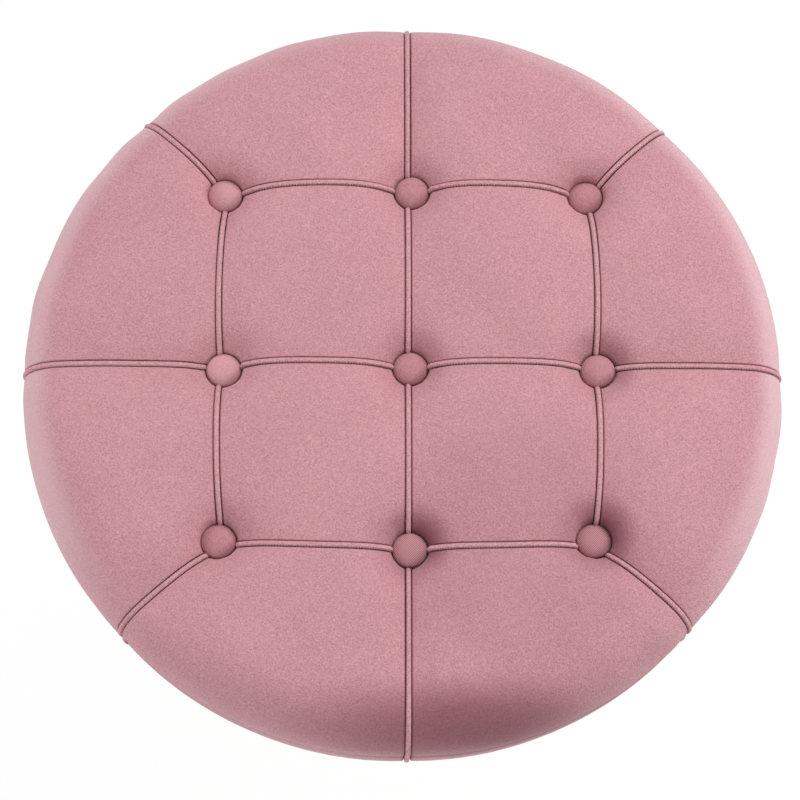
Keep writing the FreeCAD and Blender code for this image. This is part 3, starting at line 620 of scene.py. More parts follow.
def grid_normals(points: Array) -> Array:
    """Unit normals of a grid of points: (step in rows) x (step in columns)."""
    return unit(np.cross(np.gradient(points, axis=0), np.gradient(points, axis=1)))


def revolved(profile: Array, count: int, swell: Array | float = 0.0) -> tuple[Array, Array, Array]:
    """Closed surface of revolution about the Z axis.

    Each (radius, height) of the profile between its ends becomes a ring
    (r (1 + w) cos a, r (1 + w) sin a, z) with w from swell; the two ends lie on the axis.

    Args:
        profile: Radii and heights of shape (n, 2), from the top pole to the bottom one.
        count: Points in a ring.
        swell: Share by which each point stands out, of shape (n - 2, count), or one number.

    Returns:
        The points, the quads between the rings and the triangles at both poles.
    """
    angle = np.arange(count) * 2.0 * math.pi / count
    inner = profile[1:-1]
    radius = inner[:, :1] * (1.0 + np.broadcast_to(swell, (len(inner), count)))
    rings = round_axis(radius, angle, inner[:, 1:])
    poles = np.array([[0.0, 0.0, profile[0, 1]], [0.0, 0.0, profile[-1, 1]]])
    quads = grid_faces(len(inner), count, ring=True)
    return np.concatenate([rings.reshape(-1, 3), poles]), quads, cap_faces(len(inner), count)


def tube(
    path: Array, sideways: Array, radius: Array | float, sides: int
) -> tuple[Array, Array, Array, Array]:
    """Round tube along a path, closed at both ends.

    Ring k holds path + r (side cos a + rise sin a), where side is square to the path and rise
    is side x tangent, turned upwards.

    Args:
        path: Points of shape (n, 3).
        sideways: Direction or directions roughly square to the path.
        radius: One radius, or one for each point.
        sides: Points in a ring.

    Returns:
        Points, the quads between the rings, the triangles at both ends, and the map of each
        point (length along, way round) in metres.
    """
    tangent = unit(np.gradient(path, axis=0))
    side = np.broadcast_to(sideways, path.shape)
    side = unit(side - tangent * (side * tangent).sum(-1, keepdims=True))
    rise = np.cross(side, tangent)
    handed = -1.0 if rise[:, 2].mean() < 0.0 else 1.0
    rise = rise * handed
    reach = np.broadcast_to(radius, (len(path),))
    angle = np.arange(sides) * 2.0 * math.pi / sides
    rings = path[:, None, :] + reach[:, None, None] * (
        side[:, None, :] * np.cos(angle)[None, :, None] + rise[:, None, :] * np.sin(angle)[None, :, None]
    )
    points = np.concatenate([rings.reshape(-1, 3), path[:1], path[-1:]])
    quads, caps = grid_faces(len(path), sides, ring=True), cap_faces(len(path), sides)
    if handed < 0.0:
        quads, caps = quads[:, ::-1], caps[:, ::-1]
    along, around = np.meshgrid(travelled_along(path), angle * float(reach.mean()), indexing="ij")
    uv = np.stack([along, around], axis=-1).reshape(-1, 2)
    return points, quads, caps, np.concatenate([uv, uv[:1], uv[-1:]])


# Shader helpers


class NodeGraph:
    """Adds and joins shader nodes, in a material or in a node group."""

    def __init__(self, tree: bpy.types.NodeTree) -> None:
        """Work on one node tree."""
        self.tree = tree

    def add(self, kind: str, inputs: Mapping[Any, Any] | None = None, **settings: Any) -> bpy.types.Node:
        """Add a node.

        Args:
            kind: The node's type.
            inputs: Sockets by name or number, each with a value or the socket that feeds it.
            settings: Properties of the node.

        Returns:
            The node.
        """
        node = self.tree.nodes.new(kind)
        for name, value in settings.items():
            setattr(node, name, value)
        for key, value in (inputs or {}).items():
            if isinstance(value, bpy.types.NodeSocket):
                self.tree.links.new(value, node.inputs[key])
            else:
                node.inputs[key].default_value = value
        return node

    def maths(self, operation: str, first: Any, second: Any = 0.0, clamp: bool = False) -> Socket:
        """Result of a Math node."""
        node = self.add("ShaderNodeMath", {0: first, 1: second}, operation=operation, use_clamp=clamp)
        return node.outputs[0]

    def weighted(self, first: Any, share: float, second: Any) -> Socket:
        """Sum of a share of one value and the rest of another."""
        return self.maths(
            "ADD", self.maths("MULTIPLY", first, share), self.maths("MULTIPLY", second, 1.0 - share)
        )

    def wave(self, value: Any, length: float) -> Socket:
        """Sine of a value, with one wave in every length."""
        return self.maths("SINE", self.maths("MULTIPLY", value, 2.0 * math.pi / length))

    def mixed(self, factor: Any, first: Any, second: Any) -> Socket:
        """Colour mixed from two others.

        Args:
            factor: Share of the second colour.
            first: The first colour.
            second: The second colour.

        Returns:
            The mixed colour.
        """
        node = self.add(
            "ShaderNodeMix", {0: factor, 6: first, 7: second}, data_type="RGBA", blend_type="MIX"
        )
        return node.outputs[2]

    def noise(self, vector: Any, scale: Any, detail: float = 2.0, roughness: float = 0.5) -> Socket:
        """Value of a Noise Texture.

        Args:
            vector: Coordinates.
            scale: Spots in a metre.
            detail: Layers of finer noise.
            roughness: Strength of the finer layers.

        Returns:
            A value from 0 to 1.
        """
        node = self.add(
            "ShaderNodeTexNoise", {"Vector": vector, "Scale": scale, "Detail": detail, "Roughness": roughness}
        )
        return node.outputs[0]

    def ranged(
        self, value: Any, low: float, high: float, to_low: float = 0.0, to_high: float = 1.0
    ) -> Socket:
        """Value moved from one range to another, and kept inside it."""
        node = self.add("ShaderNodeMapRange", {0: value, 1: low, 2: high, 3: to_low, 4: to_high})
        return node.outputs[0]

    def stretched(self, vector: Any, scale: tuple[float, float, float]) -> Socket:
        """Vector scaled along each axis."""
        return self.add("ShaderNodeMapping", {"Vector": vector, "Scale": scale}).outputs[0]

    def separated(self, vector: Any) -> Sequence[Socket]:
        """The three parts of a vector."""
        return self.add("ShaderNodeSeparateXYZ", {"Vector": vector}).outputs

    def mapped(self, name: str) -> Sequence[Socket]:
        """The parts of a point's place on one of the mesh's maps."""
        return self.separated(self.add("ShaderNodeUVMap", uv_map=name).outputs[0])

    def painted_shading(self) -> Socket:
        """Painted shade (above 0) and painted highlight (below 0) at a point of the mesh."""
        return self.add("ShaderNodeAttribute", attribute_name="painted_shading").outputs["Fac"]

    def feed(self, value: Socket, node: bpy.types.Node, name: str) -> None:
        """Join a socket to an input of a node."""
        self.tree.links.new(value, node.inputs[name])


def rgba(colour: Colour) -> tuple[float, float, float, float]:
    """Colour as it is seen on a screen, from 0 to 255, turned into scene values.

    Args:
        colour: Red, green and blue from 0 to 255.

    Returns:
        Red, green, blue and one for alpha.
    """
    share = np.array(colour) / 255.0
    linear = np.where(share <= 0.04045, share / 12.92, ((share + 0.055) / 1.055) ** 2.4)
    return (float(linear[0]), float(linear[1]), float(linear[2]), 1.0)


class SharedEffect(Enum):
    """Effects that several finishes use; each is a node group built once."""

    PILE = "cloth_pile"
    BRUSHING = "metal_brushing"
    WEAR = "handling_wear"
    WEAVE = "cloth_weave"


class EffectLibrary:
    """Builds the shared node groups and places them in materials."""

    def __init__(self) -> None:
        """Build every group."""
        self.groups: dict[SharedEffect, bpy.types.NodeTree] = {
            SharedEffect.PILE: self.pile(),
            SharedEffect.BRUSHING: self.brushing(),
            SharedEffect.WEAR: self.wear(),
            SharedEffect.WEAVE: self.weave(),
        }

    def begin(
        self, effect: SharedEffect, inputs: Mapping[str, float], outputs: Sequence[str]
    ) -> tuple[NodeGraph, bpy.types.Node, bpy.types.Node]:
        """Start a group with a Vector input.

        Args:
            effect: The effect, whose value names the group.
            inputs: Its number inputs with their usual values.
            outputs: Names of its number outputs.

        Returns:
            The group's graph, its input node and its output node.
        """
        tree = bpy.data.node_groups.new(effect.value, "ShaderNodeTree")
        tree.interface.new_socket(name="Vector", in_out="INPUT", socket_type="NodeSocketVector")
        for name, value in inputs.items():
            socket = tree.interface.new_socket(name=name, in_out="INPUT", socket_type="NodeSocketFloat")
            socket.default_value = value
        for name in outputs:
            tree.interface.new_socket(name=name, in_out="OUTPUT", socket_type="NodeSocketFloat")
        graph = NodeGraph(tree)
        return graph, graph.add("NodeGroupInput"), graph.add("NodeGroupOutput")

    def pile(self) -> bpy.types.NodeTree:
        """Short velvet pile: fine grain, tufts of a few hairs, and soft patches where it leans."""
        graph, start, end = self.begin(
            SharedEffect.PILE, {"Grain": 1050.0, "Tufts": 380.0, "Patches": 24.0},
            ("Grain", "Patches", "Height"),
        )
        vector = start.outputs["Vector"]
        grain = graph.noise(vector, start.outputs["Grain"], detail=1.0)
        tufts = graph.noise(vector, start.outputs["Tufts"], roughness=0.6)
        both = graph.weighted(grain, 0.8, tufts)
        graph.feed(both, end, "Grain")
        graph.feed(graph.noise(vector, start.outputs["Patches"]), end, "Patches")
        graph.feed(both, end, "Height")
        return graph.tree

    def brushing(self) -> bpy.types.NodeTree:
        """Fine lines drawn along a metal piece: noise stretched along one axis."""
        graph, start, end = self.begin(SharedEffect.BRUSHING, {"Fineness": 900.0}, ("Streak", "Height"))
        vector = start.outputs["Vector"]
        lines = graph.noise(graph.stretched(vector, (1.0, 1.0, 0.02)), start.outputs["Fineness"])
        broad = graph.noise(graph.stretched(vector, (1.0, 1.0, 0.1)), 60.0)
        graph.feed(graph.weighted(lines, 0.7, broad), end, "Streak")
        graph.feed(lines, end, "Height")
        return graph.tree

    def wear(self) -> bpy.types.NodeTree:
        """Scattered scuffs and dull patches from handling: noise cut off at a threshold."""
        graph, start, end = self.begin(SharedEffect.WEAR, {"Size": 40.0, "Amount": 0.4}, ("Mask",))
        spots = graph.noise(start.outputs["Vector"], start.outputs["Size"], detail=6.0, roughness=0.65)
        edge = graph.maths("SUBTRACT", 1.0, start.outputs["Amount"])
        above = graph.maths("SUBTRACT", spots, graph.maths("MULTIPLY", edge, 0.75))
        graph.feed(graph.maths("MULTIPLY", above, 4.0, clamp=True), end, "Mask")
        return graph.tree

    def weave(self) -> bpy.types.NodeTree:
        """Threads: a diagonal sine ridge for twill, mixed with crossed ridges for plain cloth."""
        graph, start, end = self.begin(
            SharedEffect.WEAVE, {"Threads": 1400.0, "Twill": 0.0}, ("Ridge", "Height")
        )
        split = graph.separated(start.outputs["Vector"])
        across = graph.maths("MULTIPLY", split[0], start.outputs["Threads"])
        along = graph.maths("MULTIPLY", split[1], start.outputs["Threads"])
        plain = graph.maths("MULTIPLY", graph.maths("SINE", across), graph.maths("SINE", along))
        diagonal = graph.maths("SINE", graph.maths("SUBTRACT", across, along))
        twill = start.outputs["Twill"]
        mixed = graph.maths(
            "ADD", graph.maths("MULTIPLY", diagonal, twill),
            graph.maths("MULTIPLY", plain, graph.maths("SUBTRACT", 1.0, twill)),
        )
        ridge = graph.ranged(mixed, -1.0, 1.0)
        graph.feed(ridge, end, "Ridge")
        graph.feed(ridge, end, "Height")
        return graph.tree


class MaterialGraph(NodeGraph):
    """Nodes of one material, with its Principled shader and the shared effects."""

    def __init__(self, material: bpy.types.Material, effects: EffectLibrary) -> None:
        """Empty a material and give it its shader.

        Args:
            material: The material.
            effects: The shared node groups.
        """
        material.use_nodes = True
        material.node_tree.nodes.clear()
        super().__init__(material.node_tree)
        self.effects = effects
        self.shader = self.add("ShaderNodeBsdfPrincipled")
        self.add("ShaderNodeOutputMaterial", {"Surface": self.shader.outputs[0]})

    def place(self) -> Socket:
        """Object coordinates."""
        return self.add("ShaderNodeTexCoord").outputs["Object"]

    def effect(self, effect: SharedEffect, vector: Any, **values: float) -> bpy.types.Node:
        """Put a shared group into the material.

        Args:
            effect: The effect to place.
            vector: Where it takes its coordinates from.
            values: The group's number inputs that differ from their usual values.

        Returns:
            The group's node.
        """
        node = self.add("ShaderNodeGroup", node_tree=self.effects.groups[effect])
        self.feed(vector, node, "Vector")
        for name, value in values.items():
            node.inputs[name].default_value = value
        return node

    def surfaced(self, **values: Any) -> None:
        """Set constants of the shader, by their sockets' names with underscores for spaces."""
        for name, value in values.items():
            self.shader.inputs[name.replace("_", " ")].default_value = value

    def clothed(self, roughness: float, specular: float, sheen: float, spread: float) -> None:
        """Set the constants of cloth.

        Args:
            roughness: Roughness of the fibres.
            specular: Strength of their mirror-like reflection.
            sheen: Strength of the sheen.
            spread: Roughness of the sheen.
        """
        self.surfaced(
            Roughness=roughness, Specular_IOR_Level=specular, Sheen_Weight=sheen,
            Sheen_Roughness=spread, Sheen_Tint=SHEEN_TINT,
        )

    def bumped(self, height: Socket, depth: float) -> None:
        """Feed the shader's Normal from a height through a Bump node."""
        bump = self.add("ShaderNodeBump", {"Height": height, "Distance": depth, "Strength": 1.0})
        self.feed(bump.outputs[0], self.shader, "Normal")


# Finishes


class Finish:
    """Base of all finishes: a material with one Principled shader, built on first use.

    Every finish names its material and its light and dark shades.
    """

    name: str
    light: Colour
    dark: Colour

    def material(self, effects: EffectLibrary) -> bpy.types.Material:
        """The finish's material.

        Args:
            effects: The shared node groups.

        Returns:
            The material, made once.
        """
        known = bpy.data.materials.get(self.name)
        if known is not None:
            return known
        made = bpy.data.materials.new(self.name)
        self.dress(MaterialGraph(made, effects))
        return made

    def dress(self, graph: MaterialGraph) -> None:
        """Fill the shader's sockets.

        Args:
            graph: The material's nodes; every finish fills them in its own way.
        """
        raise NotImplementedError

    def toned(self, graph: NodeGraph, tone: Any) -> Socket:
        """Colour that runs from the dark shade to the light one with a tone from 0 to 1."""
        return graph.mixed(tone, rgba(self.dark), rgba(self.light))


@dataclass(frozen=True)
class Velvet(Finish):
    """Short-pile velvet: grain, soft patches, painted shade and painted highlight, sheen."""

    name: str = "dusty_pink_velvet"
    light: Colour = (224.0, 168.0, 176.0)
    dark: Colour = (182.0, 126.0, 135.0)
    # Colour of the painted shade, also used for the stitch dots.
    pressed: Colour = (124.0, 66.0, 78.0)
    # Colour of the painted highlight.
    painted_highlight: Colour = (238.0, 208.0, 213.0)
    grain_share: float = 0.88
    grain_depth: float = 0.0005
    stitch: float = 0.0013
    stitch_row: tuple[float, float] = (0.0005, 0.0004)

    def dress(self, graph: MaterialGraph) -> None:
        """Mix light and dark pile by grain and patches, then darken with painted shade and lighten with
        painted highlight.

        Args:
            graph: The material's nodes.
        """
        pile = graph.effect(SharedEffect.PILE, graph.place())
        grain = graph.ranged(pile.outputs["Grain"], 0.28, 0.72)
        patches = graph.ranged(pile.outputs["Patches"], 0.3, 0.7)
        colour = self.toned(graph, graph.weighted(grain, self.grain_share, patches))
        painted_shading, row = graph.painted_shading(), self.stitches(graph)
        # Painted shade and the stitch dots darken towards the pressed colour; below 0 the value lightens
        # towards the painted highlight colour.
        colour = graph.mixed(graph.maths("MAXIMUM", painted_shading, row), colour, rgba(self.pressed))
        colour = graph.mixed(graph.maths("MULTIPLY", painted_shading, -1.0), colour, rgba(self.painted_highlight))
        graph.feed(colour, graph.shader, "Base Color")
        graph.clothed(roughness=0.85, specular=0.25, sheen=0.36, spread=0.4)
        height = graph.maths("SUBTRACT", pile.outputs["Height"], row)
        graph.bumped(height, self.grain_depth)

    def stitches(self, graph: NodeGraph) -> Socket:
        """Dots in a row beside a seam: sine along it, kept within the row's width.

        Args:
            graph: The material's nodes.

        Returns:
            A mask from 0 to 0.9.
        """
        seam = graph.mapped("seam")
        place, width = self.stitch_row
        off = graph.maths("ABSOLUTE", graph.maths("SUBTRACT", seam[1], place))
        dots = graph.ranged(graph.wave(seam[0], self.stitch), -0.2, 0.7, 0.0, 0.9)
        return graph.maths("MULTIPLY", dots, graph.ranged(off, 0.0, width, 1.0, 0.0))


@dataclass(frozen=True)
class ButtonCloth(Finish):
    """The velvet's backing side up over a button: a close twill drawn tight."""

    name: str = "button_velvet_cloth"
    light: Colour = (212.0, 154.0, 161.0)
    dark: Colour = (172.0, 116.0, 124.0)
    shade: Colour = (120.0, 70.0, 80.0)
    threads: float = 4700.0
    ribs: float = 0.2

    def dress(self, graph: MaterialGraph) -> None:
        """Mix thread and gap shades by the twill's ridges, with the pile's grain over them.

        Args:
            graph: The material's nodes.
        """
        vector = graph.place()
        weave = graph.effect(SharedEffect.WEAVE, vector, Threads=self.threads, Twill=0.85)
        pile = graph.effect(SharedEffect.PILE, vector, Grain=1400.0)
        both = graph.weighted(weave.outputs["Ridge"], self.ribs, pile.outputs["Grain"])
        colour = self.toned(graph, graph.ranged(both, 0.3, 0.7))
        # The painted shade from the mesh's attribute darkens the cloth towards the shade colour.
        graph.feed(graph.mixed(graph.painted_shading(), colour, rgba(self.shade)), graph.shader, "Base Color")
        graph.clothed(roughness=0.8, specular=0.3, sheen=0.15, spread=0.45)
        graph.bumped(both, 0.00022)


@dataclass(frozen=True)
class WeltCloth(Finish):
    """Velvet drawn round the seam cords, with a row of stitches along one side."""

    name: str = "welt_velvet"
    light: Colour = (226.0, 172.0, 178.0)
    dark: Colour = (188.0, 132.0, 140.0)
    thread: Colour = (140.0, 86.0, 96.0)
    stitch: float = 0.0016
    stitch_from: float = -0.0006
    stitch_to: float = 0.0010
    stitch_edge: float = 0.0003

    def dress(self, graph: MaterialGraph) -> None:
        """Pile grain, and dark dents that repeat along the map's length on one flank.

        Args:
            graph: The material's nodes.
        """
        pile = graph.effect(SharedEffect.PILE, graph.place())
        colour = self.toned(graph, graph.ranged(pile.outputs["Grain"], 0.32, 0.68))
        along, around = graph.mapped("cloth")[:2]
        dents = graph.ranged(graph.wave(along, self.stitch), 0.1, 0.8)
        low = graph.ranged(around, self.stitch_from, self.stitch_from + self.stitch_edge)
        high = graph.ranged(around, self.stitch_to, self.stitch_to + self.stitch_edge, 1.0, 0.0)
        row = graph.maths("MULTIPLY", dents, graph.maths("MULTIPLY", low, high))
        graph.feed(graph.mixed(row, colour, rgba(self.thread)), graph.shader, "Base Color")
        graph.clothed(roughness=0.82, specular=0.25, sheen=0.25, spread=0.4)
        graph.bumped(graph.maths("SUBTRACT", pile.outputs["Height"], row), 0.0003)


@dataclass(frozen=True)
class Wadding(Finish):
    """White polyester wadding: clumped fibres."""

    name: str = "polyester_wadding"
    light: Colour = (250.0, 249.0, 246.0)
    dark: Colour = (222.0, 220.0, 214.0)

    def dress(self, graph: MaterialGraph) -> None:
        """Two sizes of fibre noise over an off-white.

        Args:
            graph: The material's nodes.
        """
        vector = graph.place()
        fibres = graph.noise(graph.stretched(vector, (1.0, 0.25, 1.0)), 700.0, detail=6.0, roughness=0.7)
        both = graph.weighted(fibres, 0.6, graph.noise(vector, 90.0, detail=3.0))
        graph.feed(self.toned(graph, both), graph.shader, "Base Color")
        graph.surfaced(Roughness=0.95)
        graph.bumped(both, 0.0008)


@dataclass(frozen=True)
class Foam(Finish):
    """Cut polyurethane foam: open cells of about a millimetre, a little yellowed."""

    name: str = "seat_foam"
    light: Colour = (244.0, 234.0, 200.0)
    dark: Colour = (222.0, 206.0, 160.0)

    def dress(self, graph: MaterialGraph) -> None:
        """Cells from a Voronoi texture, patches from noise.

        Args:
            graph: The material's nodes.
        """
        vector = graph.place()
        cells = graph.add("ShaderNodeTexVoronoi", {"Vector": vector, "Scale": 900.0}).outputs["Distance"]
        tone = graph.weighted(cells, 0.6, graph.noise(vector, 30.0, detail=3.0))
        graph.feed(self.toned(graph, tone), graph.shader, "Base Color")
        graph.surfaced(Roughness=0.92)
        graph.bumped(cells, 0.0005)


@dataclass(frozen=True)
class Plywood(Finish):
    """Birch plywood: long grain on the faces, dark and light plies along the edge."""

    name: str = "birch_plywood"
    light: Colour = (226.0, 196.0, 152.0)
    dark: Colour = (178.0, 138.0, 92.0)
    ply: float = 0.0015

    def dress(self, graph: MaterialGraph) -> None:
        """Stretched noise for the grain; bands by height for the plies.

        Args:
            graph: The material's nodes.
        """
        vector = graph.place()
        grain = graph.noise(graph.stretched(vector, (1.0, 0.06, 1.0)), 260.0, detail=5.0, roughness=0.6)
        plies = graph.ranged(graph.wave(graph.separated(vector)[2], 2.0 * self.ply), -0.3, 0.3)
        graph.feed(self.toned(graph, graph.weighted(grain, 0.7, plies)), graph.shader, "Base Color")
        wear = graph.effect(SharedEffect.WEAR, vector, Size=20.0, Amount=0.3)
        graph.feed(graph.ranged(wear.outputs["Mask"], 0.0, 1.0, 0.62, 0.8), graph.shader, "Roughness")
        graph.bumped(grain, 0.0002)


@dataclass(frozen=True)
class Twine(Finish):
    """Waxed linen twine: strands laid at a slant round the map's length."""

    name: str = "waxed_twine"
    light: Colour = (218.0, 202.0, 170.0)
    dark: Colour = (148.0, 126.0, 94.0)
    lay: float = 0.0022

    def dress(self, graph: MaterialGraph) -> None:
        """Slanted ridges from the map: sine of length and way round together.

        Args:
            graph: The material's nodes.
        """
        along, around = graph.mapped("cloth")[:2]
        slant = graph.maths("ADD", along, graph.maths("MULTIPLY", around, 1.4))
        ridge = graph.ranged(graph.wave(slant, self.lay), -1.0, 1.0)
        tone = graph.maths("MULTIPLY", ridge, graph.noise(graph.place(), 2500.0, detail=3.0))
        graph.feed(self.toned(graph, tone), graph.shader, "Base Color")
        graph.surfaced(Roughness=0.7)
        graph.bumped(ridge, 0.0002)


@dataclass(frozen=True)
class BrushedMetal(Finish):
    """Metal with fine lines along it, dulled where it has been handled."""

    name: str = "brushed_gold"
    light: Colour = (236.0, 204.0, 142.0)
    dark: Colour = (224.0, 190.0, 128.0)
    roughness: tuple[float, float] = (0.20, 0.32)
    fineness: float = 2200.0
    depth: float = 0.00004

    def dress(self, graph: MaterialGraph) -> None:
        """Streaks set the shade and the roughness; scuffs make it duller.

        Args:
            graph: The material's nodes.
        """
        vector = graph.place()
        lines = graph.effect(SharedEffect.BRUSHING, vector, Fineness=self.fineness)
        wear = graph.effect(SharedEffect.WEAR, vector, Size=55.0, Amount=0.35).outputs["Mask"]
        streak = lines.outputs["Streak"]
        colour = self.toned(graph, graph.ranged(streak, 0.3, 0.7))
        colour = graph.mixed(graph.maths("MULTIPLY", wear, 0.25), colour, rgba(self.dark))
        graph.feed(colour, graph.shader, "Base Color")
        rough = graph.maths(
            "ADD", graph.ranged(streak, 0.3, 0.7, *self.roughness), graph.maths("MULTIPLY", wear, 0.12)
        )
        graph.feed(rough, graph.shader, "Roughness")
        graph.surfaced(Metallic=1.0)
        graph.bumped(lines.outputs["Height"], self.depth)


@dataclass(frozen=True)
class PowderCoat(Finish):
    """Black powder coat over steel: fine orange peel, rubbed a little at random."""

    name: str = "black_powder_coat"
    light: Colour = (86.0, 86.0, 88.0)
    dark: Colour = (34.0, 34.0, 36.0)

    def dress(self, graph: MaterialGraph) -> None:
        """Orange-peel bump and paler scuffs.

        Args:
            graph: The material's nodes.
        """
        vector = graph.place()
        peel = graph.noise(vector, 1100.0)
        wear = graph.effect(SharedEffect.WEAR, vector, Size=70.0, Amount=0.38).outputs["Mask"]
        graph.feed(self.toned(graph, graph.maths("MULTIPLY", wear, 0.3)), graph.shader, "Base Color")
        graph.feed(graph.ranged(peel, 0.3, 0.7, 0.38, 0.52), graph.shader, "Roughness")
        graph.bumped(peel, 0.00008)


@dataclass(frozen=True)
class DustCloth(Finish):
    """Black spunbonded cloth: pressed fibres with a small dimple pattern."""

    name: str = "black_dust_cloth"
    light: Colour = (62.0, 62.0, 65.0)
    dark: Colour = (22.0, 22.0, 24.0)

    def dress(self, graph: MaterialGraph) -> None:
        """Dimples of the weave group over crossed fibre noise.

        Args:
            graph: The material's nodes.
        """
        vector = graph.place()
        weave = graph.effect(SharedEffect.WEAVE, vector, Threads=4200.0)
        fibres = graph.noise(graph.stretched(vector, (1.0, 0.2, 1.0)), 1500.0, detail=5.0, roughness=0.7)
        tone = graph.maths("MULTIPLY", weave.outputs["Ridge"], fibres)
        graph.feed(self.toned(graph, graph.ranged(tone, 0.05, 0.5)), graph.shader, "Base Color")
        graph.surfaced(Roughness=0.9)
        graph.bumped(tone, 0.0002)


@dataclass(frozen=True)
class GlidePlastic(Finish):
    """Moulded black plastic: fine spark texture, scratched near the floor."""

    name: str = "glide_plastic_black"
    light: Colour = (82.0, 80.0, 78.0)
    dark: Colour = (30.0, 30.0, 31.0)

    def dress(self, graph: MaterialGraph) -> None:
        """Spark texture bump; scuffs that are paler and rougher.

        Args:
            graph: The material's nodes.
        """
        vector = graph.place()
        wear = graph.effect(SharedEffect.WEAR, vector, Size=160.0, Amount=0.42).outputs["Mask"]
        graph.feed(self.toned(graph, graph.maths("MULTIPLY", wear, 0.5)), graph.shader, "Base Color")
        graph.feed(graph.ranged(wear, 0.0, 1.0, 0.45, 0.68), graph.shader, "Roughness")
        graph.bumped(graph.noise(vector, 1800.0), 0.0001)


# The seat's soft pieces


@dataclass(frozen=True)
class TuftPits:
    """Dimples that the nine buttons press into the cover, the cords and the pads."""

    places: Array
    back: float
    under: float = 0.0086
    edge: float = 0.0118
    clearance: float = 0.0004
    shank_depth: float = 0.0042
    shank_reach: tuple[float, float] = (0.0025, 0.0068)
    shoulder: float = 0.0018
    shoulder_reach: tuple[float, float, float] = (0.008, 0.022, 0.052)

    @classmethod
    def of_buttons(cls) -> "TuftPits":
        """Dimples at the places where the frame has its buttons."""
        boxes = [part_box(f"button_{name}") for name in Pattern.GRID]
        places = np.array([[(low[0] + high[0]) / 2.0, (low[1] + high[1]) / 2.0] for low, high in boxes])
        return cls(places, min(low[2] for low, _ in boxes))

    def distances(self, points: Array) -> Array:
        """Distance of points from each button's axis, of shape (..., 9)."""
        return reach_from(points[..., None, :2] - self.places)

    def shouldered(self, points: Array) -> Array:
        """Points raised round the buttons, so that the cover dives steeply beside them.

        The rise grows along a smooth step between the first two reaches off a button and fades
        out by the third.

        Args:
            points: Points of shape (..., 3).

        Returns:
            The raised points.
        """
        near = self.distances(points).min(-1)
        begin, full, end = self.shoulder_reach
        rise = smooth_step(near, begin, full) * (1.0 - smooth_step(near, full, end))
        return points + UP * (rise * self.shoulder)[..., None]

    def press(self, points: Array, sink: float = 0.0) -> Array:
        """Points pushed below the buttons.

        Within `under` of a button a point lies under its back, lower still round the shank;
        from `under` to `edge` it climbs back to its own height along a smooth step.

        Args:
            points: Points of shape (..., 3).
            sink: How much lower than the cover's face these points stay.

        Returns:
            The pressed points.
        """
        near = self.distances(points).min(-1)
        shank = self.shank_depth * (1.0 - smooth_step(near, *self.shank_reach))
        floor = np.minimum(points[..., 2], self.back - self.clearance - sink - shank)
        keep = smooth_step(near, self.under, self.edge)
        pressed = np.array(points, float)
        pressed[..., 2] = points[..., 2] * keep + floor * (1.0 - keep)
        return pressed


@dataclass(frozen=True)
class HandWork:
    """Small unevenness of hand upholstery: soft waves and puckers beside the buttons."""

    wave_height: float = 0.00035
    wave_lengths: tuple[float, ...] = (0.034, 0.041, 0.052, 0.063, 0.081)
    wave_crowd: float = 2.2
    pucker_height: float = 0.0003
    pucker_counts: tuple[int, ...] = (7, 10, 13)
    pucker_start: float = 0.010
    pucker_reach: float = 0.010
    seed: int = 11

    def waves(self, points: Array) -> Array:
        """Height of the soft waves: a sum of sines in fixed directions across the seat.

        Args:
            points: Points of shape (..., 3).

        Returns:
            Heights of shape (...).
        """
        chance = np.random.default_rng(self.seed)
        heights = np.zeros(points.shape[:-1])
        for length in self.wave_lengths:
            heading, phase = chance.uniform(0.0, 2.0 * math.pi, 2)
            travel = points[..., 0] * math.cos(heading) + points[..., 1] * math.sin(heading)
            heights += np.sin(travel * 2.0 * math.pi / length + phase)
        return heights * self.wave_height / self.wave_crowd

    def puckers(self, points: Array, pits: TuftPits) -> Array:
        """Height of the puckers: cosines of the way round each button, fading outwards.

        Args:
            points: Points of shape (..., 3).
            pits: The buttons' dimples.

        Returns:
            Heights of shape (...).
        """
        chance = np.random.default_rng(self.seed + 1)
        heights = np.zeros(points.shape[:-1])
        for place in pits.places:
            offset = points[..., :2] - place
            distance = reach_from(offset)
            angle = np.arctan2(offset[..., 1], offset[..., 0])
            folds = sum(
                np.cos(angle * count + chance.uniform(0.0, 2.0 * math.pi)) for count in self.pucker_counts
            )
            fade = np.exp(-np.clip(distance - self.pucker_start, 0.0, None) / self.pucker_reach)
            heights += folds * fade / len(self.pucker_counts)
        return heights * self.pucker_height


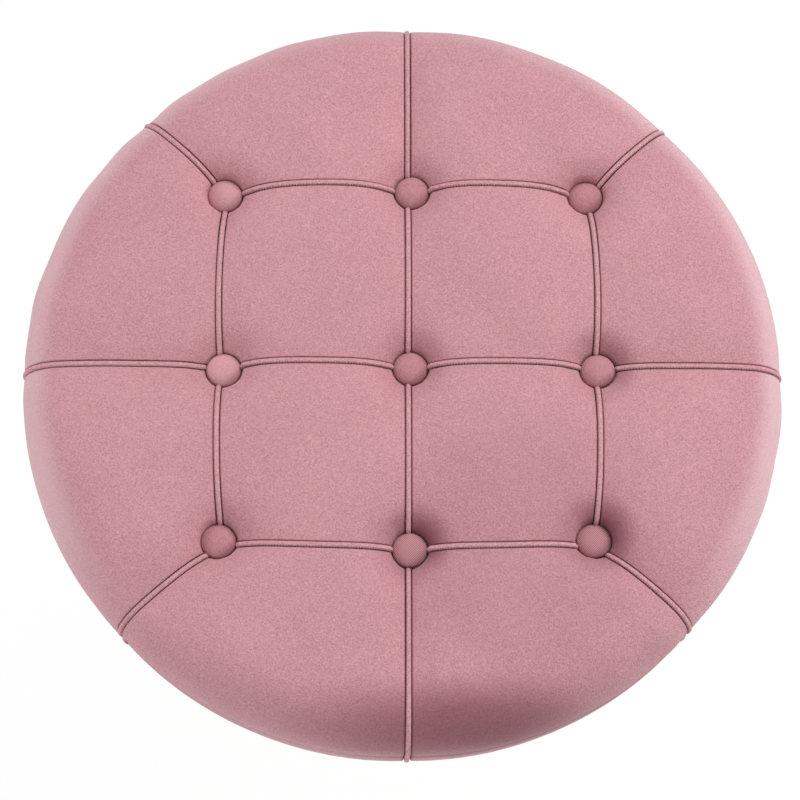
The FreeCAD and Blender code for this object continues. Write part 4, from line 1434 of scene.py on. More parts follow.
@dataclass(frozen=True)
class PaintedCrownShading:
    """Painted shade (above 0) and painted highlight (below 0) on the crown's velvet.

    Shares say how strongly, and pairs of lengths say where a mark begins and ends to fade.
    """

    # Painted shade along the seams.
    seam_share: float = 0.5
    seam_width: float = 0.0011
    # Painted shade round each button, stronger on its back right side.
    button_share: float = 0.04
    button_fade: tuple[float, float] = (0.009, 0.027)
    behind: Mapping[str, float] = field(default_factory=lambda: {
        "nw": 0.0, "n": 0.18, "ne": 0.08, "w": 0.12, "c": 0.36, "e": 0.62, "sw": 0.12, "s": 0.85, "se": 0.75,
    })
    behind_way: tuple[float, float] = (0.74, 0.67)
    behind_turn: tuple[float, float] = (-0.5, 0.95)
    around: float = 0.25
    # Painted shade along the front rim.
    front_middle: tuple[float, float] = (0.032, -0.202)
    front_reach: tuple[float, float] = (0.085, 0.022)
    front_share: float = 0.7
    front_fade: tuple[float, float] = (0.2, 1.4)
    # Painted shade over the front right quarter.
    quarter_middle: tuple[float, float] = (0.075, -0.105)
    quarter_share: float = 0.13
    quarter_fade: tuple[float, float] = (0.045, 0.10)
    # Painted highlight near the side rims.
    rim_share: float = 0.45
    rim_least: float = 0.3
    rim_fade: tuple[float, float] = (0.196, 0.210)
    rim_front: tuple[float, float] = (0.3, 0.8)

    def shade_round_buttons(self, points: Array, pits: TuftPits) -> Array:
        """Painted shade round the buttons, stronger on the back right side of each.

        Args:
            points: Points of shape (..., 3).
            pits: The buttons' dimples.

        Returns:
            Shares of shape (...).
        """
        distances = pits.distances(points)
        near, nearest = distances.min(-1), distances.argmin(-1)
        away = (points[..., :2] - pits.places[nearest]) / np.maximum(near, 1e-6)[..., None]
        strength = np.array([self.behind[name] for name in Pattern.GRID])[nearest]
        turned = smooth_step(away @ np.array(self.behind_way), *self.behind_turn)
        share = self.button_share + strength * (self.around + (1.0 - self.around) * turned)
        return share * (1.0 - smooth_step(near, *self.button_fade))

    def rim_highlight(self, points: Array) -> Array:
        """Painted highlight near the rim: most at the sides, none in front.

        Args:
            points: Points of shape (..., 3).

        Returns:
            Shares of shape (...).
        """
        reach = np.maximum(reach_from(points), 1e-6)
        sideways = np.abs(points[..., 0]) / reach
        level = self.rim_least + (1.0 - self.rim_least) * sideways
        level = level * (1.0 - smooth_step(-points[..., 1] / reach, *self.rim_front))
        return self.rim_share * level * smooth_step(reach, *self.rim_fade)

    def painted_shading(self, points: Array, pits: TuftPits) -> Array:
        """Painted shade and painted highlight at every point of a panel.

        Args:
            points: A panel's grid of points.
            pits: The buttons' dimples.

        Returns:
            One number for each point: up to 1 for painted shade, below 0 for painted highlight.
        """
        # Painted shade from the seams, the buttons, the front rim and the front right quarter, minus the
        # painted highlight near the rims.
        seams = self.seam_share * (1.0 - smooth_step(edge_distance(points), 0.0, self.seam_width))
        front = reach_from((points[..., :2] - np.array(self.front_middle)) / np.array(self.front_reach))
        rim = self.front_share * (1.0 - smooth_step(front, *self.front_fade))
        quarter = reach_from(points, self.quarter_middle)
        stroked = self.quarter_share * (1.0 - smooth_step(quarter, *self.quarter_fade))
        pressed = np.clip(seams + self.shade_round_buttons(points, pits) + rim + stroked, 0.0, 1.0)
        return pressed - self.rim_highlight(points) * (seams < 0.1 * self.seam_share)


@dataclass(frozen=True)
class ClothSettling:
    """Lets the panels' cloth swell between its seams in a short simulation."""

    cells: int = 33
    pressure: float = 4.0
    frames: int = 20
    cap: float = 0.0016
    held: float = 0.0125
    quality: int = 6
    mass: float = 0.25
    tension: float = 30.0
    shear: float = 12.0
    bending: float = 4.0

    def shares(self) -> Array:
        """Shares at which the simulated grids have their points."""
        return np.linspace(0.0, 1.0, self.cells)

    def run(self, grids: Mapping[str, tuple[Array, Array]], pits: TuftPits) -> dict[str, Array]:
        """Simulate all panels together, held along their borders and under the buttons.

        Args:
            grids: Points and outward normals of each panel, of shape (cells, cells, 3).
            pits: The buttons' dimples.

        Returns:
            How far each point of each grid moved; long moves are eased down to the cap by
            m tanh(|m| / cap) / |m| times the cap.
        """
        start = np.concatenate([points.reshape(-1, 3) for points, _ in grids.values()])
        faces = []
        for index, (points, normals) in enumerate(grids.values()):
            group = grid_faces(self.cells, self.cells) + index * self.cells ** 2
            upwards = (grid_normals(points) * normals).sum() > 0.0
            faces.extend((group if upwards else group[:, ::-1]).tolist())
        mesh = bpy.data.meshes.new("settling_cloth")
        mesh.from_pydata(start.tolist(), [], faces)
        cloth = bpy.data.objects.new("settling_cloth", mesh)
        bpy.context.scene.collection.objects.link(cloth)
        border = np.ones((self.cells, self.cells), bool)
        border[1:-1, 1:-1] = False
        fixed = np.tile(border.reshape(-1), len(grids)) | (pits.distances(start).min(-1) < self.held)
        cloth.vertex_groups.new(name="held").add(np.nonzero(fixed)[0].tolist(), 1.0, "REPLACE")
        moved = self.simulated(cloth, len(start)) - start
        bpy.data.objects.remove(cloth)
        bpy.data.meshes.remove(mesh)
        length = np.maximum(np.linalg.norm(moved, axis=-1, keepdims=True), 1e-9)
        eased = moved * (self.cap * np.tanh(length / self.cap) / length)
        log.info("cloth settled: longest move %.2f mm, eased to %.2f mm", length.max() * 1000.0,
                 np.linalg.norm(eased, axis=-1).max() * 1000.0)
        shape = (len(grids), self.cells, self.cells, 3)
        return dict(zip(grids, eased.reshape(shape)))

    def simulated(self, cloth: bpy.types.Object, count: int) -> Array:
        """Points of the cloth after the last frame.

        Args:
            cloth: The object to simulate, with its held points in a group.
            count: How many points it has.

        Returns:
            Points of shape (count, 3).
        """
        modifier = cloth.modifiers.new("settling", "CLOTH")
        settings = modifier.settings
        settings.quality = self.quality
        settings.mass = self.mass
        settings.tension_stiffness = self.tension
        settings.compression_stiffness = self.tension
        settings.shear_stiffness = self.shear
        settings.bending_stiffness = self.bending
        settings.vertex_group_mass = "held"
        settings.use_pressure = True
        settings.uniform_pressure_force = self.pressure
        settings.effector_weights.gravity = 0.0
        modifier.collision_settings.use_collision = False
        modifier.point_cache.frame_start, modifier.point_cache.frame_end = 1, self.frames
        scene = bpy.context.scene
        for frame_number in range(1, self.frames + 1):
            scene.frame_set(frame_number)
        settled = cloth.evaluated_get(bpy.context.evaluated_depsgraph_get())
        points = np.zeros(count * 3, np.float32)
        settled.data.vertices.foreach_get("co", points)
        scene.frame_set(1)
        return points.reshape(-1, 3).astype(float)

    def spread(self, moves: Array, u: Array, v: Array) -> Array:
        """Moves of the simulated grid carried over to other shares, mixed between its points.

        Args:
            moves: How far each point of a panel's simulated grid moved.
            u: Shares across the panel.
            v: Shares along it.

        Returns:
            Moves of shape (len(u), len(v), 3).
        """
        last = self.cells - 1
        row, column = u * last, v * last
        low_row = np.minimum(row.astype(int), last - 1)
        low_column = np.minimum(column.astype(int), last - 1)
        part_row = smooth_step(row - low_row, 0.0, 1.0)[:, None, None]
        part_column = smooth_step(column - low_column, 0.0, 1.0)[None, :, None]
        corner = [moves[low_row + i][:, low_column + j] for i in (0, 1) for j in (0, 1)]
        near = corner[0] * (1.0 - part_column) + corner[1] * part_column
        far = corner[2] * (1.0 - part_column) + corner[3] * part_column
        return near * (1.0 - part_row) + far * part_row


def edge_distance(points: Array) -> Array:
    """Distance of each point of a grid from the nearest of the grid's four borders."""
    borders = (points[:1], points[-1:], points[:, :1], points[:, -1:])
    return np.min([np.linalg.norm(points - border, axis=-1) for border in borders], axis=0)


def tucked(distance: Array, radius: float) -> Array:
    """Depth of a rounded edge: r (1 - sqrt(1 - (1 - d / r)^2)) within r of the border."""
    short = np.clip(1.0 - distance / radius, 0.0, 1.0)
    return radius * (1.0 - np.sqrt(1.0 - short ** 2))


@dataclass
class TuftedCrown:
    """Velvet crown: four inner and eight outer panels, each a closed shell of cloth."""

    sizes: SeatSizes
    pattern: Pattern
    pits: TuftPits
    effects: EffectLibrary
    hand: HandWork = field(default_factory=HandWork)
    # Painted shade and highlight of the crown's velvet.
    crown_shading: PaintedCrownShading = field(default_factory=PaintedCrownShading)
    settling: ClothSettling = field(default_factory=ClothSettling)
    moves: dict[str, Array] = field(default_factory=dict)
    tuck_radius: float = 0.0010
    pad_gap: float = 0.0004
    pad_least: float = 0.0005
    pad_grid: int = 48
    inner_grid: tuple[int, int] = (108, 108)
    outer_grid: tuple[int, int] = (112, 120)
    wave_fade: tuple[float, float] = (0.002, 0.016)
    pucker_fade: tuple[float, float] = (0.001, 0.006)
    stitched_from: float = 0.35

    def inner_face(self, name: str, u: Array, v: Array) -> Array:
        """Smooth face of an inner panel.

        Its left and right borders and its ridge are arcs from the front seam to the back one;
        the section at a share v is the arc through left(v), ridge(v) and right(v), and a share
        u of that arc's turn gives the point.

        Args:
            name: The panel.
            u: Shares from left to right.
            v: Shares from front to back.

        Returns:
            Points of shape (len(u), len(v), 3).
        """
        corners = self.pattern.INNER[name]
        front_left, front_right, back_right, back_left = corners
        turns: dict[str, Array] = {}
        sides: dict[str, Array] = {}
        for index, corner in enumerate(corners):
            before, after = corners[index - 1], corners[(index + 1) % 4]
            turns[corner] = self.pattern.corner(
                corner, self.pattern.towards(corner, before), self.pattern.towards(corner, after)
            )
            along = unit(level_with(self.pattern.crossing(after) - self.pattern.crossing(corner)))
            inward = np.array([-along[1], along[0], 0.0])
            sides[corner] = self.pattern.seam_middle(corner, after) + inward * self.sizes.seam_setback
        middle = level_with(sum(self.pattern.crossing(corner) for corner in corners) / 4.0)
        top = middle + UP * self.sizes.seat_height
        left = arc_share(turns[front_left], sides[back_left], turns[back_left], v)
        ridge = arc_share(sides[front_left], top, sides[back_right], v)
        right = arc_share(turns[front_right], sides[front_right], turns[back_right], v)
        share = np.broadcast_to(u[:, None], (len(u), len(v)))
        return arc_share(left[None], ridge[None], right[None], share)

    def outer_face(self, name: str, u: Array, v: Array) -> Array:
        """Smooth face of an outer panel, as roll sections from its inner seam down to the crease.

        Args:
            name: The panel.
            u: Shares anticlockwise from one radial seam to the next.
            v: Shares from the inner seam out and down to the crease.

        Returns:
            Points of shape (len(u), len(v), 3).
        """
        first, second = self.pattern.OUTER[name]
        start, end = self.pattern.panel_angles(first, second)
        near = self.pattern.corner(first, self.pattern.towards(first, second), self.pattern.heading(first))
        far = self.pattern.corner(second, self.pattern.towards(second, first), self.pattern.heading(second))
        along = unit(level_with(self.pattern.crossing(second) - self.pattern.crossing(first)))
        outward = np.array([along[1], -along[0], 0.0])
        middle = self.pattern.seam_middle(first, second) + outward * self.sizes.seam_setback
        fullness = 1.0 - np.abs(2.0 * u - 1.0) ** 3
        rim = self.pattern.rim_points(start + u * (end - start), fullness)
        crest = self.sizes.radial_crest + fullness * (self.sizes.outer_crest - self.sizes.radial_crest)
        sections = RollSections(self.sizes, arc_share(near, middle, far, u), rim, crest)
        return sections.points(v, self.sizes.crease + self.sizes.soft_gap)

    def face(self, name: str, outer: bool) -> tuple[Array, Array]:
        """Dense face of a panel and its outward normals, before it is worked."""
        grid = self.outer_grid if outer else self.inner_grid
        return self.grid_of(name, outer, crowded(grid[0]), crowded(grid[1]))

    def grid_of(self, name: str, outer: bool, u: Array, v: Array) -> tuple[Array, Array]:
        """Points and outward normals of a panel at shares u and v.

        Args:
            name: The panel.
            outer: Whether it is an outer one.
            u: Shares across it.
            v: Shares along it.

        Returns:
            Points and normals, each of shape (len(u), len(v), 3).
        """
        points = self.pits.shouldered(self.outer_face(name, u, v) if outer else self.inner_face(name, u, v))
        if name in self.moves:
            points = points + self.settling.spread(self.moves[name], u, v)
        return points, grid_normals(points) * (-1.0 if outer else 1.0)

    def settle(self) -> None:
        share = self.settling.shares()
        grids = {name: self.grid_of(name, False, share, share) for name in self.pattern.INNER}
        grids.update({name: self.grid_of(name, True, share, share) for name in self.pattern.OUTER})
        self.moves = self.settling.run(grids, self.pits)

    def worked(self, points: Array, normals: Array, depth: float) -> Array:
        """Face moved by the hand work, rounded off at its borders and pressed by the buttons.

        Args:
            points: The smooth face.
            normals: Its outward normals.
            depth: How far under the face the result lies.

        Returns:
            The worked points.
        """
        border = edge_distance(points)
        uneven = self.hand.waves(points) * smooth_step(border, *self.wave_fade)
        uneven = uneven + self.hand.puckers(points, self.pits) * smooth_step(border, *self.pucker_fade)
        moved = points + normals * (uneven - tucked(border, self.tuck_radius) - depth)[..., None]
        return self.pits.press(moved, depth)

    def stitches(self, points: Array) -> Array:
        """Length along the nearest border that faces backwards, and distance from it.

        Only those borders have a row of stitches that shows, as in the photograph.

        Args:
            points: A panel's grid of points.

        Returns:
            Both lengths for each point, of shape (rows, columns, 2).
        """
        middle = points.mean((0, 1))
        best = np.full((*points.shape[:2], 2), 1.0)
        rows, columns = points.shape[:2]
        for side in range(4):
            line = (points[0], points[-1], points[:, 0], points[:, -1])[side]
            outward = unit(level_with(line[len(line) // 2] - middle))
            if outward[1] < self.stitched_from:
                continue
            length = travelled_along(line)
            along = np.broadcast_to(length[None, :] if side < 2 else length[:, None], (rows, columns))
            across = np.linalg.norm(points - (line[None, :] if side < 2 else line[:, None]), axis=-1)
            closer = across < best[..., 1]
            best = np.where(closer[..., None], np.stack([along, across], axis=-1), best)
        return best

    def panel(self, name: str, outer: bool) -> bpy.types.Object:
        """One panel as a closed shell of velvet.

        Args:
            name: The panel.
            outer: Whether it is an outer one.

        Returns:
            Its piece.
        """
        points, normals = self.face(name, outer)
        top = self.worked(points, normals, 0.0)
        under = self.worked(points, normals, self.sizes.velvet)
        parts = MeshParts()
        # Each point's value is its painted shade, below 0 its painted highlight.
        parts.add_shell(
            top, under, outer, uv=points[..., :2], value=self.crown_shading.painted_shading(points, self.pits),
            seam=self.stitches(points),
        )
        ring = "outer" if outer else "inner"
        piece = parts.build(f"panel_{ring}_{name}", Velvet().material(self.effects))
        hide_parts(f"velvet_{ring}_{name}")
        return piece

    def pads(self) -> bpy.types.Object:
        """Wadding pads under all the panels, one closed solid each, down to the foam."""
        parts = MeshParts()
        depth = self.sizes.velvet + self.pad_gap
        low = self.sizes.crease + self.sizes.soft_gap
        for outer, names in ((False, self.pattern.INNER), (True, self.pattern.OUTER)):
            for name in names:
                share = crowded(self.pad_grid)
                points, normals = self.grid_of(name, outer, share, share)
                top = self.worked(points, normals, depth)
                top[..., 2] = np.maximum(top[..., 2], low + self.pad_least)
                under = level_with(top, low)
                if outer:
                    ends = level_with(top[:, -1:], low) - under[:, :1]
                    under = under[:, :1] + ends * share[None, :, None]
                parts.add_shell(top, under, outer)
        piece = parts.build("wadding_pads", Wadding().material(self.effects))
        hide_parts("crown_wadding")
        return piece

    def build(self) -> list[bpy.types.Object]:
        """All panels and the pads."""
        self.settle()
        pieces = [self.panel(name, False) for name in self.pattern.INNER]
        pieces += [self.panel(name, True) for name in self.pattern.OUTER]
        return pieces + [self.pads()]


@dataclass
class SideBand:
    """Velvet side: eight bands round the foam, turned in under the board as a hem."""

    sizes: SeatSizes
    pattern: Pattern
    effects: EffectLibrary
    tuck_radius: float = 0.0016
    grid: tuple[int, int] = (96, 96)
    hold: float = 0.6
    ripple: float = 0.00045
    hem_ripple: float = 0.00018
    gathers: tuple[float, float] = (74.0, 117.0)
    gather_shares: tuple[float, float] = (0.6, 0.4)
    gather_fade: tuple[float, float] = (0.0, 0.006)
    pull_levels: tuple[float, float] = (0.385, 0.350)
    hem_ease: float = 0.001
    seam_share: float = 0.45
    seam_fade: tuple[float, float] = (0.0002, 0.002)
    shade_way: tuple[float, float] = (0.64, -0.77)
    shade_turn: tuple[float, float] = (0.55, 0.9)
    shade_share: tuple[float, float] = (0.1, 0.6)
    shade_fade: tuple[float, float] = (0.003, 0.011)
    cloth_width: float = 0.1

    def uneven(self, points: Array, angle: Array, turned_in: Array) -> Array:
        """Height of the gathers: two sines round the seat, growing towards the hem.

        Args:
            points: The band's grid of points.
            angle: Angle of each of its sections.
            turned_in: How far each point is under the board, from 0 to 1.

        Returns:
            One height for each point.
        """
        wide, narrow = self.gathers
        most, rest = self.gather_shares
        gathers = np.sin(angle * wide)[:, None] * most + np.sin(angle * narrow + 1.0)[:, None] * rest
        high, low = self.pull_levels
        pull = smooth_step(-points[..., 2], -high, -low) * (1.0 - turned_in)
        return gathers * (self.ripple * pull + self.hem_ripple * turned_in)

    def painted_shading(self, points: Array, border: Array) -> Array:
        """Painted shade: at the seams, and under the crease on its shaded side.

        Args:
            points: The band's grid of points.
            border: Their distance from its borders.

        Returns:
            One number for each point.
        """
        # Painted shade under the crease, more on its shaded side.
        heading = unit(level_with(points))[..., :2] @ np.array(self.shade_way)
        least, more = self.shade_share
        shaded = least + more * smooth_step(heading, *self.shade_turn)
        # Painted shade along the seams.
        seams = self.seam_share * (1.0 - smooth_step(border, *self.seam_fade))
        under = self.sizes.crease - points[..., 2]
        return np.clip(seams + shaded * (1.0 - smooth_step(under, *self.shade_fade)), 0.0, 1.0)

    def band(self, name: str) -> bpy.types.Object:
        """One band as a closed shell: bulge, turn and hem with small gathers.

        Args:
            name: The band.

        Returns:
            Its piece.
        """
        start, end = self.pattern.panel_angles(*self.pattern.OUTER[name])
        u, v = crowded(self.grid[0]), crowded(self.grid[1], hold=self.hold)
        angle = start + u * (end - start)
        points = BandSections(self.sizes, angle, 1.0 - np.abs(2.0 * u - 1.0) ** 3).points(v)
        normals = -grid_normals(points)
        border = edge_distance(points)
        bottom = self.sizes.board_bottom
        turned_in = smooth_step(-points[..., 2], -bottom - self.hem_ease, -bottom + self.hem_ease)
        uneven = self.uneven(points, angle, turned_in) * smooth_step(border, *self.gather_fade)
        tuck = tucked(border, self.tuck_radius) * (1.0 - turned_in)
        top, under = (
            points + normals * (uneven - tuck - depth)[..., None] for depth in (0.0, self.sizes.velvet)
        )
        lengths = np.meshgrid(angle * self.sizes.seat_radius, self.cloth_width * v, indexing="ij")
        parts = MeshParts()
        parts.add_shell(top, under, True, uv=np.stack(lengths, axis=-1), value=self.painted_shading(points, border))
        piece = parts.build(f"band_{name}", Velvet().material(self.effects))
        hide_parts(f"side_band_{name}")
        return piece

    def build(self) -> list[bpy.types.Object]:
        """All eight bands."""
        return [self.band(name) for name in self.pattern.OUTER]


@dataclass
class SeamWelts:
    """Cords covered in velvet along every seam of the crown and down the side."""

    sizes: SeatSizes
    pattern: Pattern
    pits: TuftPits
    effects: EffectLibrary
    sides: int = 16
    inner_span: tuple[float, float] = (0.05, 0.95)
    crown_span: tuple[float, float] = (0.04, 1.0)
    crown_lift: float = 0.0006
    band_span: float = 0.74
    crown_points: int = 128
    band_points: int = 90

    def inner_path(self, first: str, second: str) -> tuple[Array, Array]:
        """Line of a cord between two buttons, and the way to its stitched side.

        Args:
            first: Button at one end.
            second: Button at the other.

        Returns:
            The points, and a level vector.
        """
        sink = UP * self.sizes.cord_sink
        start, end = self.pattern.crossing(first) - sink, self.pattern.crossing(second) - sink
        share = np.linspace(*self.inner_span, self.crown_points)
        path = arc_share(start, self.pattern.seam_middle(first, second) - sink, end, share)
        along = unit(level_with(end - start))
        side = np.array([along[1], -along[0], 0.0])
        return self.pits.press(self.pits.shouldered(path), self.sizes.cord_radius), side

    def crown_path(self, name: str) -> tuple[Array, Array]:
        """Line of a radial cord from its button over the rim to the crease.

        Args:
            name: The seam's button.

        Returns:
            The points, and a level vector towards its stitched side.
        """
        start = self.pattern.crossing(name)[None]
        rim = self.pattern.rim_points(np.array([self.pattern.rim_angle(name)]), np.zeros(1))
        sections = RollSections(self.sizes, start, rim, np.array([self.sizes.radial_crest]))
        share = np.linspace(*self.crown_span, self.crown_points)
        path = sections.points(share, self.sizes.crease + self.crown_lift)[0]
        side = np.array([sections.out[0, 1], -sections.out[0, 0], 0.0])
        return self.pits.press(self.pits.shouldered(self.sunk(path, side)), self.sizes.cord_radius), side

    def band_path(self, name: str) -> tuple[Array, Array]:
        """Line of a cord down the side band and round the edge of the board.

        Args:
            name: The seam's button.

        Returns:
            The points, and a level vector towards its stitched side.
        """
        angle = self.pattern.rim_angle(name)
        share = np.linspace(0.0, self.band_span, self.band_points)
        path = BandSections(self.sizes, np.array([angle]), np.zeros(1)).points(share)[0]
        side = np.array([math.sin(angle), -math.cos(angle), 0.0])
        return self.sunk(path, side), side

    def sunk(self, path: Array, side: Array) -> Array:
        """Path moved under the cover's face by the cord's sink.

        Args:
            path: Points on the face.
            side: Level direction square to the path.

        Returns:
            The moved points.
        """
        normal = np.cross(side, unit(np.gradient(path, axis=0)))
        outwards = 1.0 if normal[0] @ UP + normal[-1] @ level_with(path[-1]) > 0.0 else -1.0
        return path - normal * outwards * self.sizes.cord_sink

    def build(self) -> list[bpy.types.Object]:
        """All cords as one piece of separate closed tubes."""
        paths = [self.inner_path(*seam) for seam in self.pattern.SEAMS]
        for name in self.pattern.GRID:
            if name != "c":
                paths += [self.crown_path(name), self.band_path(name)]
        parts = MeshParts()
        for path, side in paths:
            points, quads, caps, uv = tube(path, side, self.sizes.cord_radius, self.sides)
            parts.add(points, quads, caps, uv=uv)
        piece = parts.build("seam_welts", WeltCloth().material(self.effects))
        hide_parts("seam_cords")
        return [piece]


@dataclass
class CoveredButtons:
    """Nine buttons covered in the velvet's cloth, gathered behind their rims."""

    pits: TuftPits
    effects: EffectLibrary
    radius: float = 0.010
    height: float = 0.0077
    rim_height: float = 0.0032
    back_radius: float = 0.0082
    dome_powers: tuple[float, float] = (2.0 / 1.9, 2.0 / 1.75)
    dome_rows: int = 30
    turn_rows: int = 9
    back_rows: int = 6
    count: int = 112
    gathers: int = 28
    lumps: float = 5.0
    lump_turn: float = 2.0
    gather_swell: float = 0.006
    lump_swell: float = 0.004
    gather_levels: tuple[float, float] = (0.0052, 0.0012)
    gather_reach: tuple[float, float] = (0.004, 0.008)
    shade_way: tuple[float, float] = (0.72, -0.69)
    shade_turn: tuple[float, float] = (0.35, 0.95)
    shade_share: float = 0.45
    rim_reach: tuple[float, float] = (0.0088, 0.0100)
    rim_share: float = 0.6

    def profile(self) -> Array:
        """Upright section: a superellipse over the rim, a rounded turn under it, a flat back."""
        turn = np.linspace(0.0, math.pi / 2.0, self.dome_rows)
        dome = np.stack([
            self.radius * np.sin(turn) ** self.dome_powers[0],
            self.rim_height + (self.height - self.rim_height) * np.cos(turn) ** self.dome_powers[1],
        ], axis=-1)
        below = np.linspace(0.0, math.pi / 2.0, self.turn_rows)[1:]
        turned = np.stack([
            self.back_radius + (self.radius - self.back_radius) * np.cos(below),
            self.rim_height * (1.0 - np.sin(below)),
        ], axis=-1)
        flat = np.linspace(self.back_radius, 0.0, self.back_rows)[1:]
        back = np.stack([flat, np.zeros(len(flat))], axis=-1)
        return np.concatenate([dome, turned, back])

    def cloths(self) -> dict[str, bpy.types.Material]:
        """Cloth of the buttons that differ: ribs that show in front, and a lighter copy at the left, painted
        light.
        """
        ribbed = ButtonCloth("button_velvet_ribbed", ribs=0.75).material(self.effects)
        # A lighter copy of the button cloth at the left: painted light.
        lit_left = ButtonCloth(
            "button_velvet_lit_left", light=(228.0, 172.0, 180.0), dark=(198.0, 142.0, 150.0)
        ).material(self.effects)
        return {"s": ribbed, "se": ribbed, "nw": lit_left, "w": lit_left}

    def swell(self, inner: Array, index: int) -> Array:
        """Share by which a button's cloth stands out: small gathers and five broad lumps.

        Args:
            inner: Radii and heights between the poles.
            index: Number of the button, which turns them.

        Returns:
            Shares of shape (len(inner), count).
        """
        high, low = self.gather_levels
        strength = smooth_step(-inner[:, 1], -high, -low) * smooth_step(inner[:, 0], *self.gather_reach)
        angle = np.arange(self.count) * 2.0 * math.pi / self.count
        swell = self.gather_swell * np.cos(angle * self.gathers + index)[None] * strength[:, None]
        broad = np.sin(angle * self.lumps + self.lump_turn * index)
        return swell + self.lump_swell * broad[None] * strength[:, None]

    def shade(self, points: Array) -> Array:
        """Painted shade on the cloth: at the rim, and on the side away from the light.

        Args:
            points: Points about the button's own axis.

        Returns:
            One number for each point.
        """
        across = (points[:, :2] @ np.array(self.shade_way)) / self.radius
        rim = smooth_step(reach_from(points), *self.rim_reach)
        # Painted shade at the rim and on the side away from the light.
        return rim * self.rim_share + smooth_step(across, *self.shade_turn) * self.shade_share

    def build(self) -> list[bpy.types.Object]:
        """One piece for each button."""
        pieces = []
        profile = self.profile()
        plain = ButtonCloth().material(self.effects)
        cloths = self.cloths()
        for index, name in enumerate(Pattern.GRID):
            points, quads, caps = revolved(profile, self.count, self.swell(profile[1:-1], index))
            place = np.array([*self.pits.places[index], self.pits.back])
            parts = MeshParts()
            parts.add(points + place, quads, caps, uv=points[:, :2], value=self.shade(points))
            piece = parts.build(f"covered_button_{name}", cloths.get(name, plain))
            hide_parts(f"button_{name}")
            pieces.append(piece)
        return pieces


@dataclass
class TuftingTwine:
    """Doubled twine from each button's eye down to its knot under the board."""

    pits: TuftPits
    effects: EffectLibrary
    radius: float = 0.0005
    loop_radius: float = 0.0011
    eye_drop: float = 0.0036
    washer: float = 0.001
    knot_radius: float = 0.0024
    knot_height: float = 0.001
    knot_power: float = 0.6
    knot_swell: float = 0.10
    knot_lumps: float = 5.0
    knot_rows: int = 12
    knot_points: int = 36
    bend_points: int = 17
    strand_points: int = 60
    sides: int = 10
    board_bottom: float = 0.345

    def loop(self, low: float) -> Array:
        """Line of a doubled strand on the Z axis: up, over the button's eye and down again.

        Args:
            low: Level of its ends.

        Returns:
            Points of shape (n, 3).
        """
        top = self.pits.back - self.eye_drop
        turn = np.linspace(math.pi, 0.0, self.bend_points)
        over, rise = self.loop_radius * np.cos(turn), top + self.loop_radius * np.sin(turn)
        bend = np.stack([np.zeros(len(turn)), over, rise], axis=-1)
        climb = np.linspace(low, top, self.strand_points)[:-1]
        left = np.stack([np.zeros(len(climb)), np.full(len(climb), -self.loop_radius), climb], axis=-1)
        right = left[::-1] * np.array([1.0, -1.0, 1.0])
        return np.concatenate([left, bend, right])

    def knot(self, low: float) -> tuple[Array, Array, Array]:
        """Flat knot with five lumps, hanging from a level on the Z axis.

        Args:
            low: Level of its top.

        Returns:
            Points, quads and the triangles at both poles.
        """
        flat = np.linspace(0.0, math.pi, self.knot_rows)
        half = self.knot_height / 2.0
        profile = np.stack([
            self.knot_radius * np.sin(flat) ** self.knot_power, low - half + half * np.cos(flat)
        ], axis=-1)
        angle = np.arange(self.knot_points) * 2.0 * math.pi / self.knot_points
        lumps = self.knot_swell * np.cos(angle * self.knot_lumps)[None] * np.sin(flat[1:-1])[:, None]
        return revolved(profile, self.knot_points, lumps)

    def build(self) -> list[bpy.types.Object]:
        """One piece with a loop and a knot at every button."""
        parts = MeshParts()
        low = self.board_bottom - self.washer
        path = self.loop(low)
        for place in self.pits.places:
            offset = np.array([*place, 0.0])
            sideways = np.array([1.0, 0.0, 0.0])
            points, quads, caps, uv = tube(path + offset, sideways, self.radius, self.sides)
            parts.add(points, quads, caps, uv=uv)
            points, quads, caps = self.knot(low)
            parts.add(points + offset, quads, caps, uv=points[:, :2])
        piece = parts.build("tufting_twine_strands", Twine().material(self.effects))
        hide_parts("tufting_twine")
        return [piece]


@dataclass
class FoamSlab:
    """Foam slab on the board: a disc whose side follows the band, with softened edges."""

    sizes: SeatSizes
    effects: EffectLibrary
    gap: float = 0.0004
    soft_edge: float = 0.0022
    inset: float = 0.004
    points: int = 24
    sides: int = 160

    def build(self) -> list[bpy.types.Object]:
        """The slab as one closed surface of revolution."""
        low = self.sizes.board_bottom + self.sizes.board_thickness + self.gap
        high = self.sizes.crease - self.gap
        section = BandSections(self.sizes, np.zeros(1), np.zeros(1))
        height = np.linspace(high, low, self.points)
        depth = self.sizes.cord_sink + self.sizes.cord_radius + self.gap
        bulge = self.sizes.band_radius - depth
        radius = section.centre[0, 0] + np.sqrt(bulge ** 2 - (height - section.centre[0, 1]) ** 2)
        near = np.clip(np.minimum(height - low, high - height) / self.soft_edge, 0.0, 1.0)
        side = np.stack([radius - self.soft_edge * (1.0 - near) ** 2, height], axis=-1)
        level = np.ones(self.points)
        top = np.stack([np.linspace(0.0, radius[0] - self.inset, self.points), high * level], axis=-1)
        under = np.stack([np.linspace(radius[-1] - self.inset, 0.0, self.points), low * level], axis=-1)
        points, quads, caps = revolved(np.concatenate([top, side, under]), self.sides)
        parts = MeshParts()
        parts.add(points, quads, caps)
        piece = parts.build("foam_slab", Foam().material(self.effects))
        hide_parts("foam_core")
        return [piece]


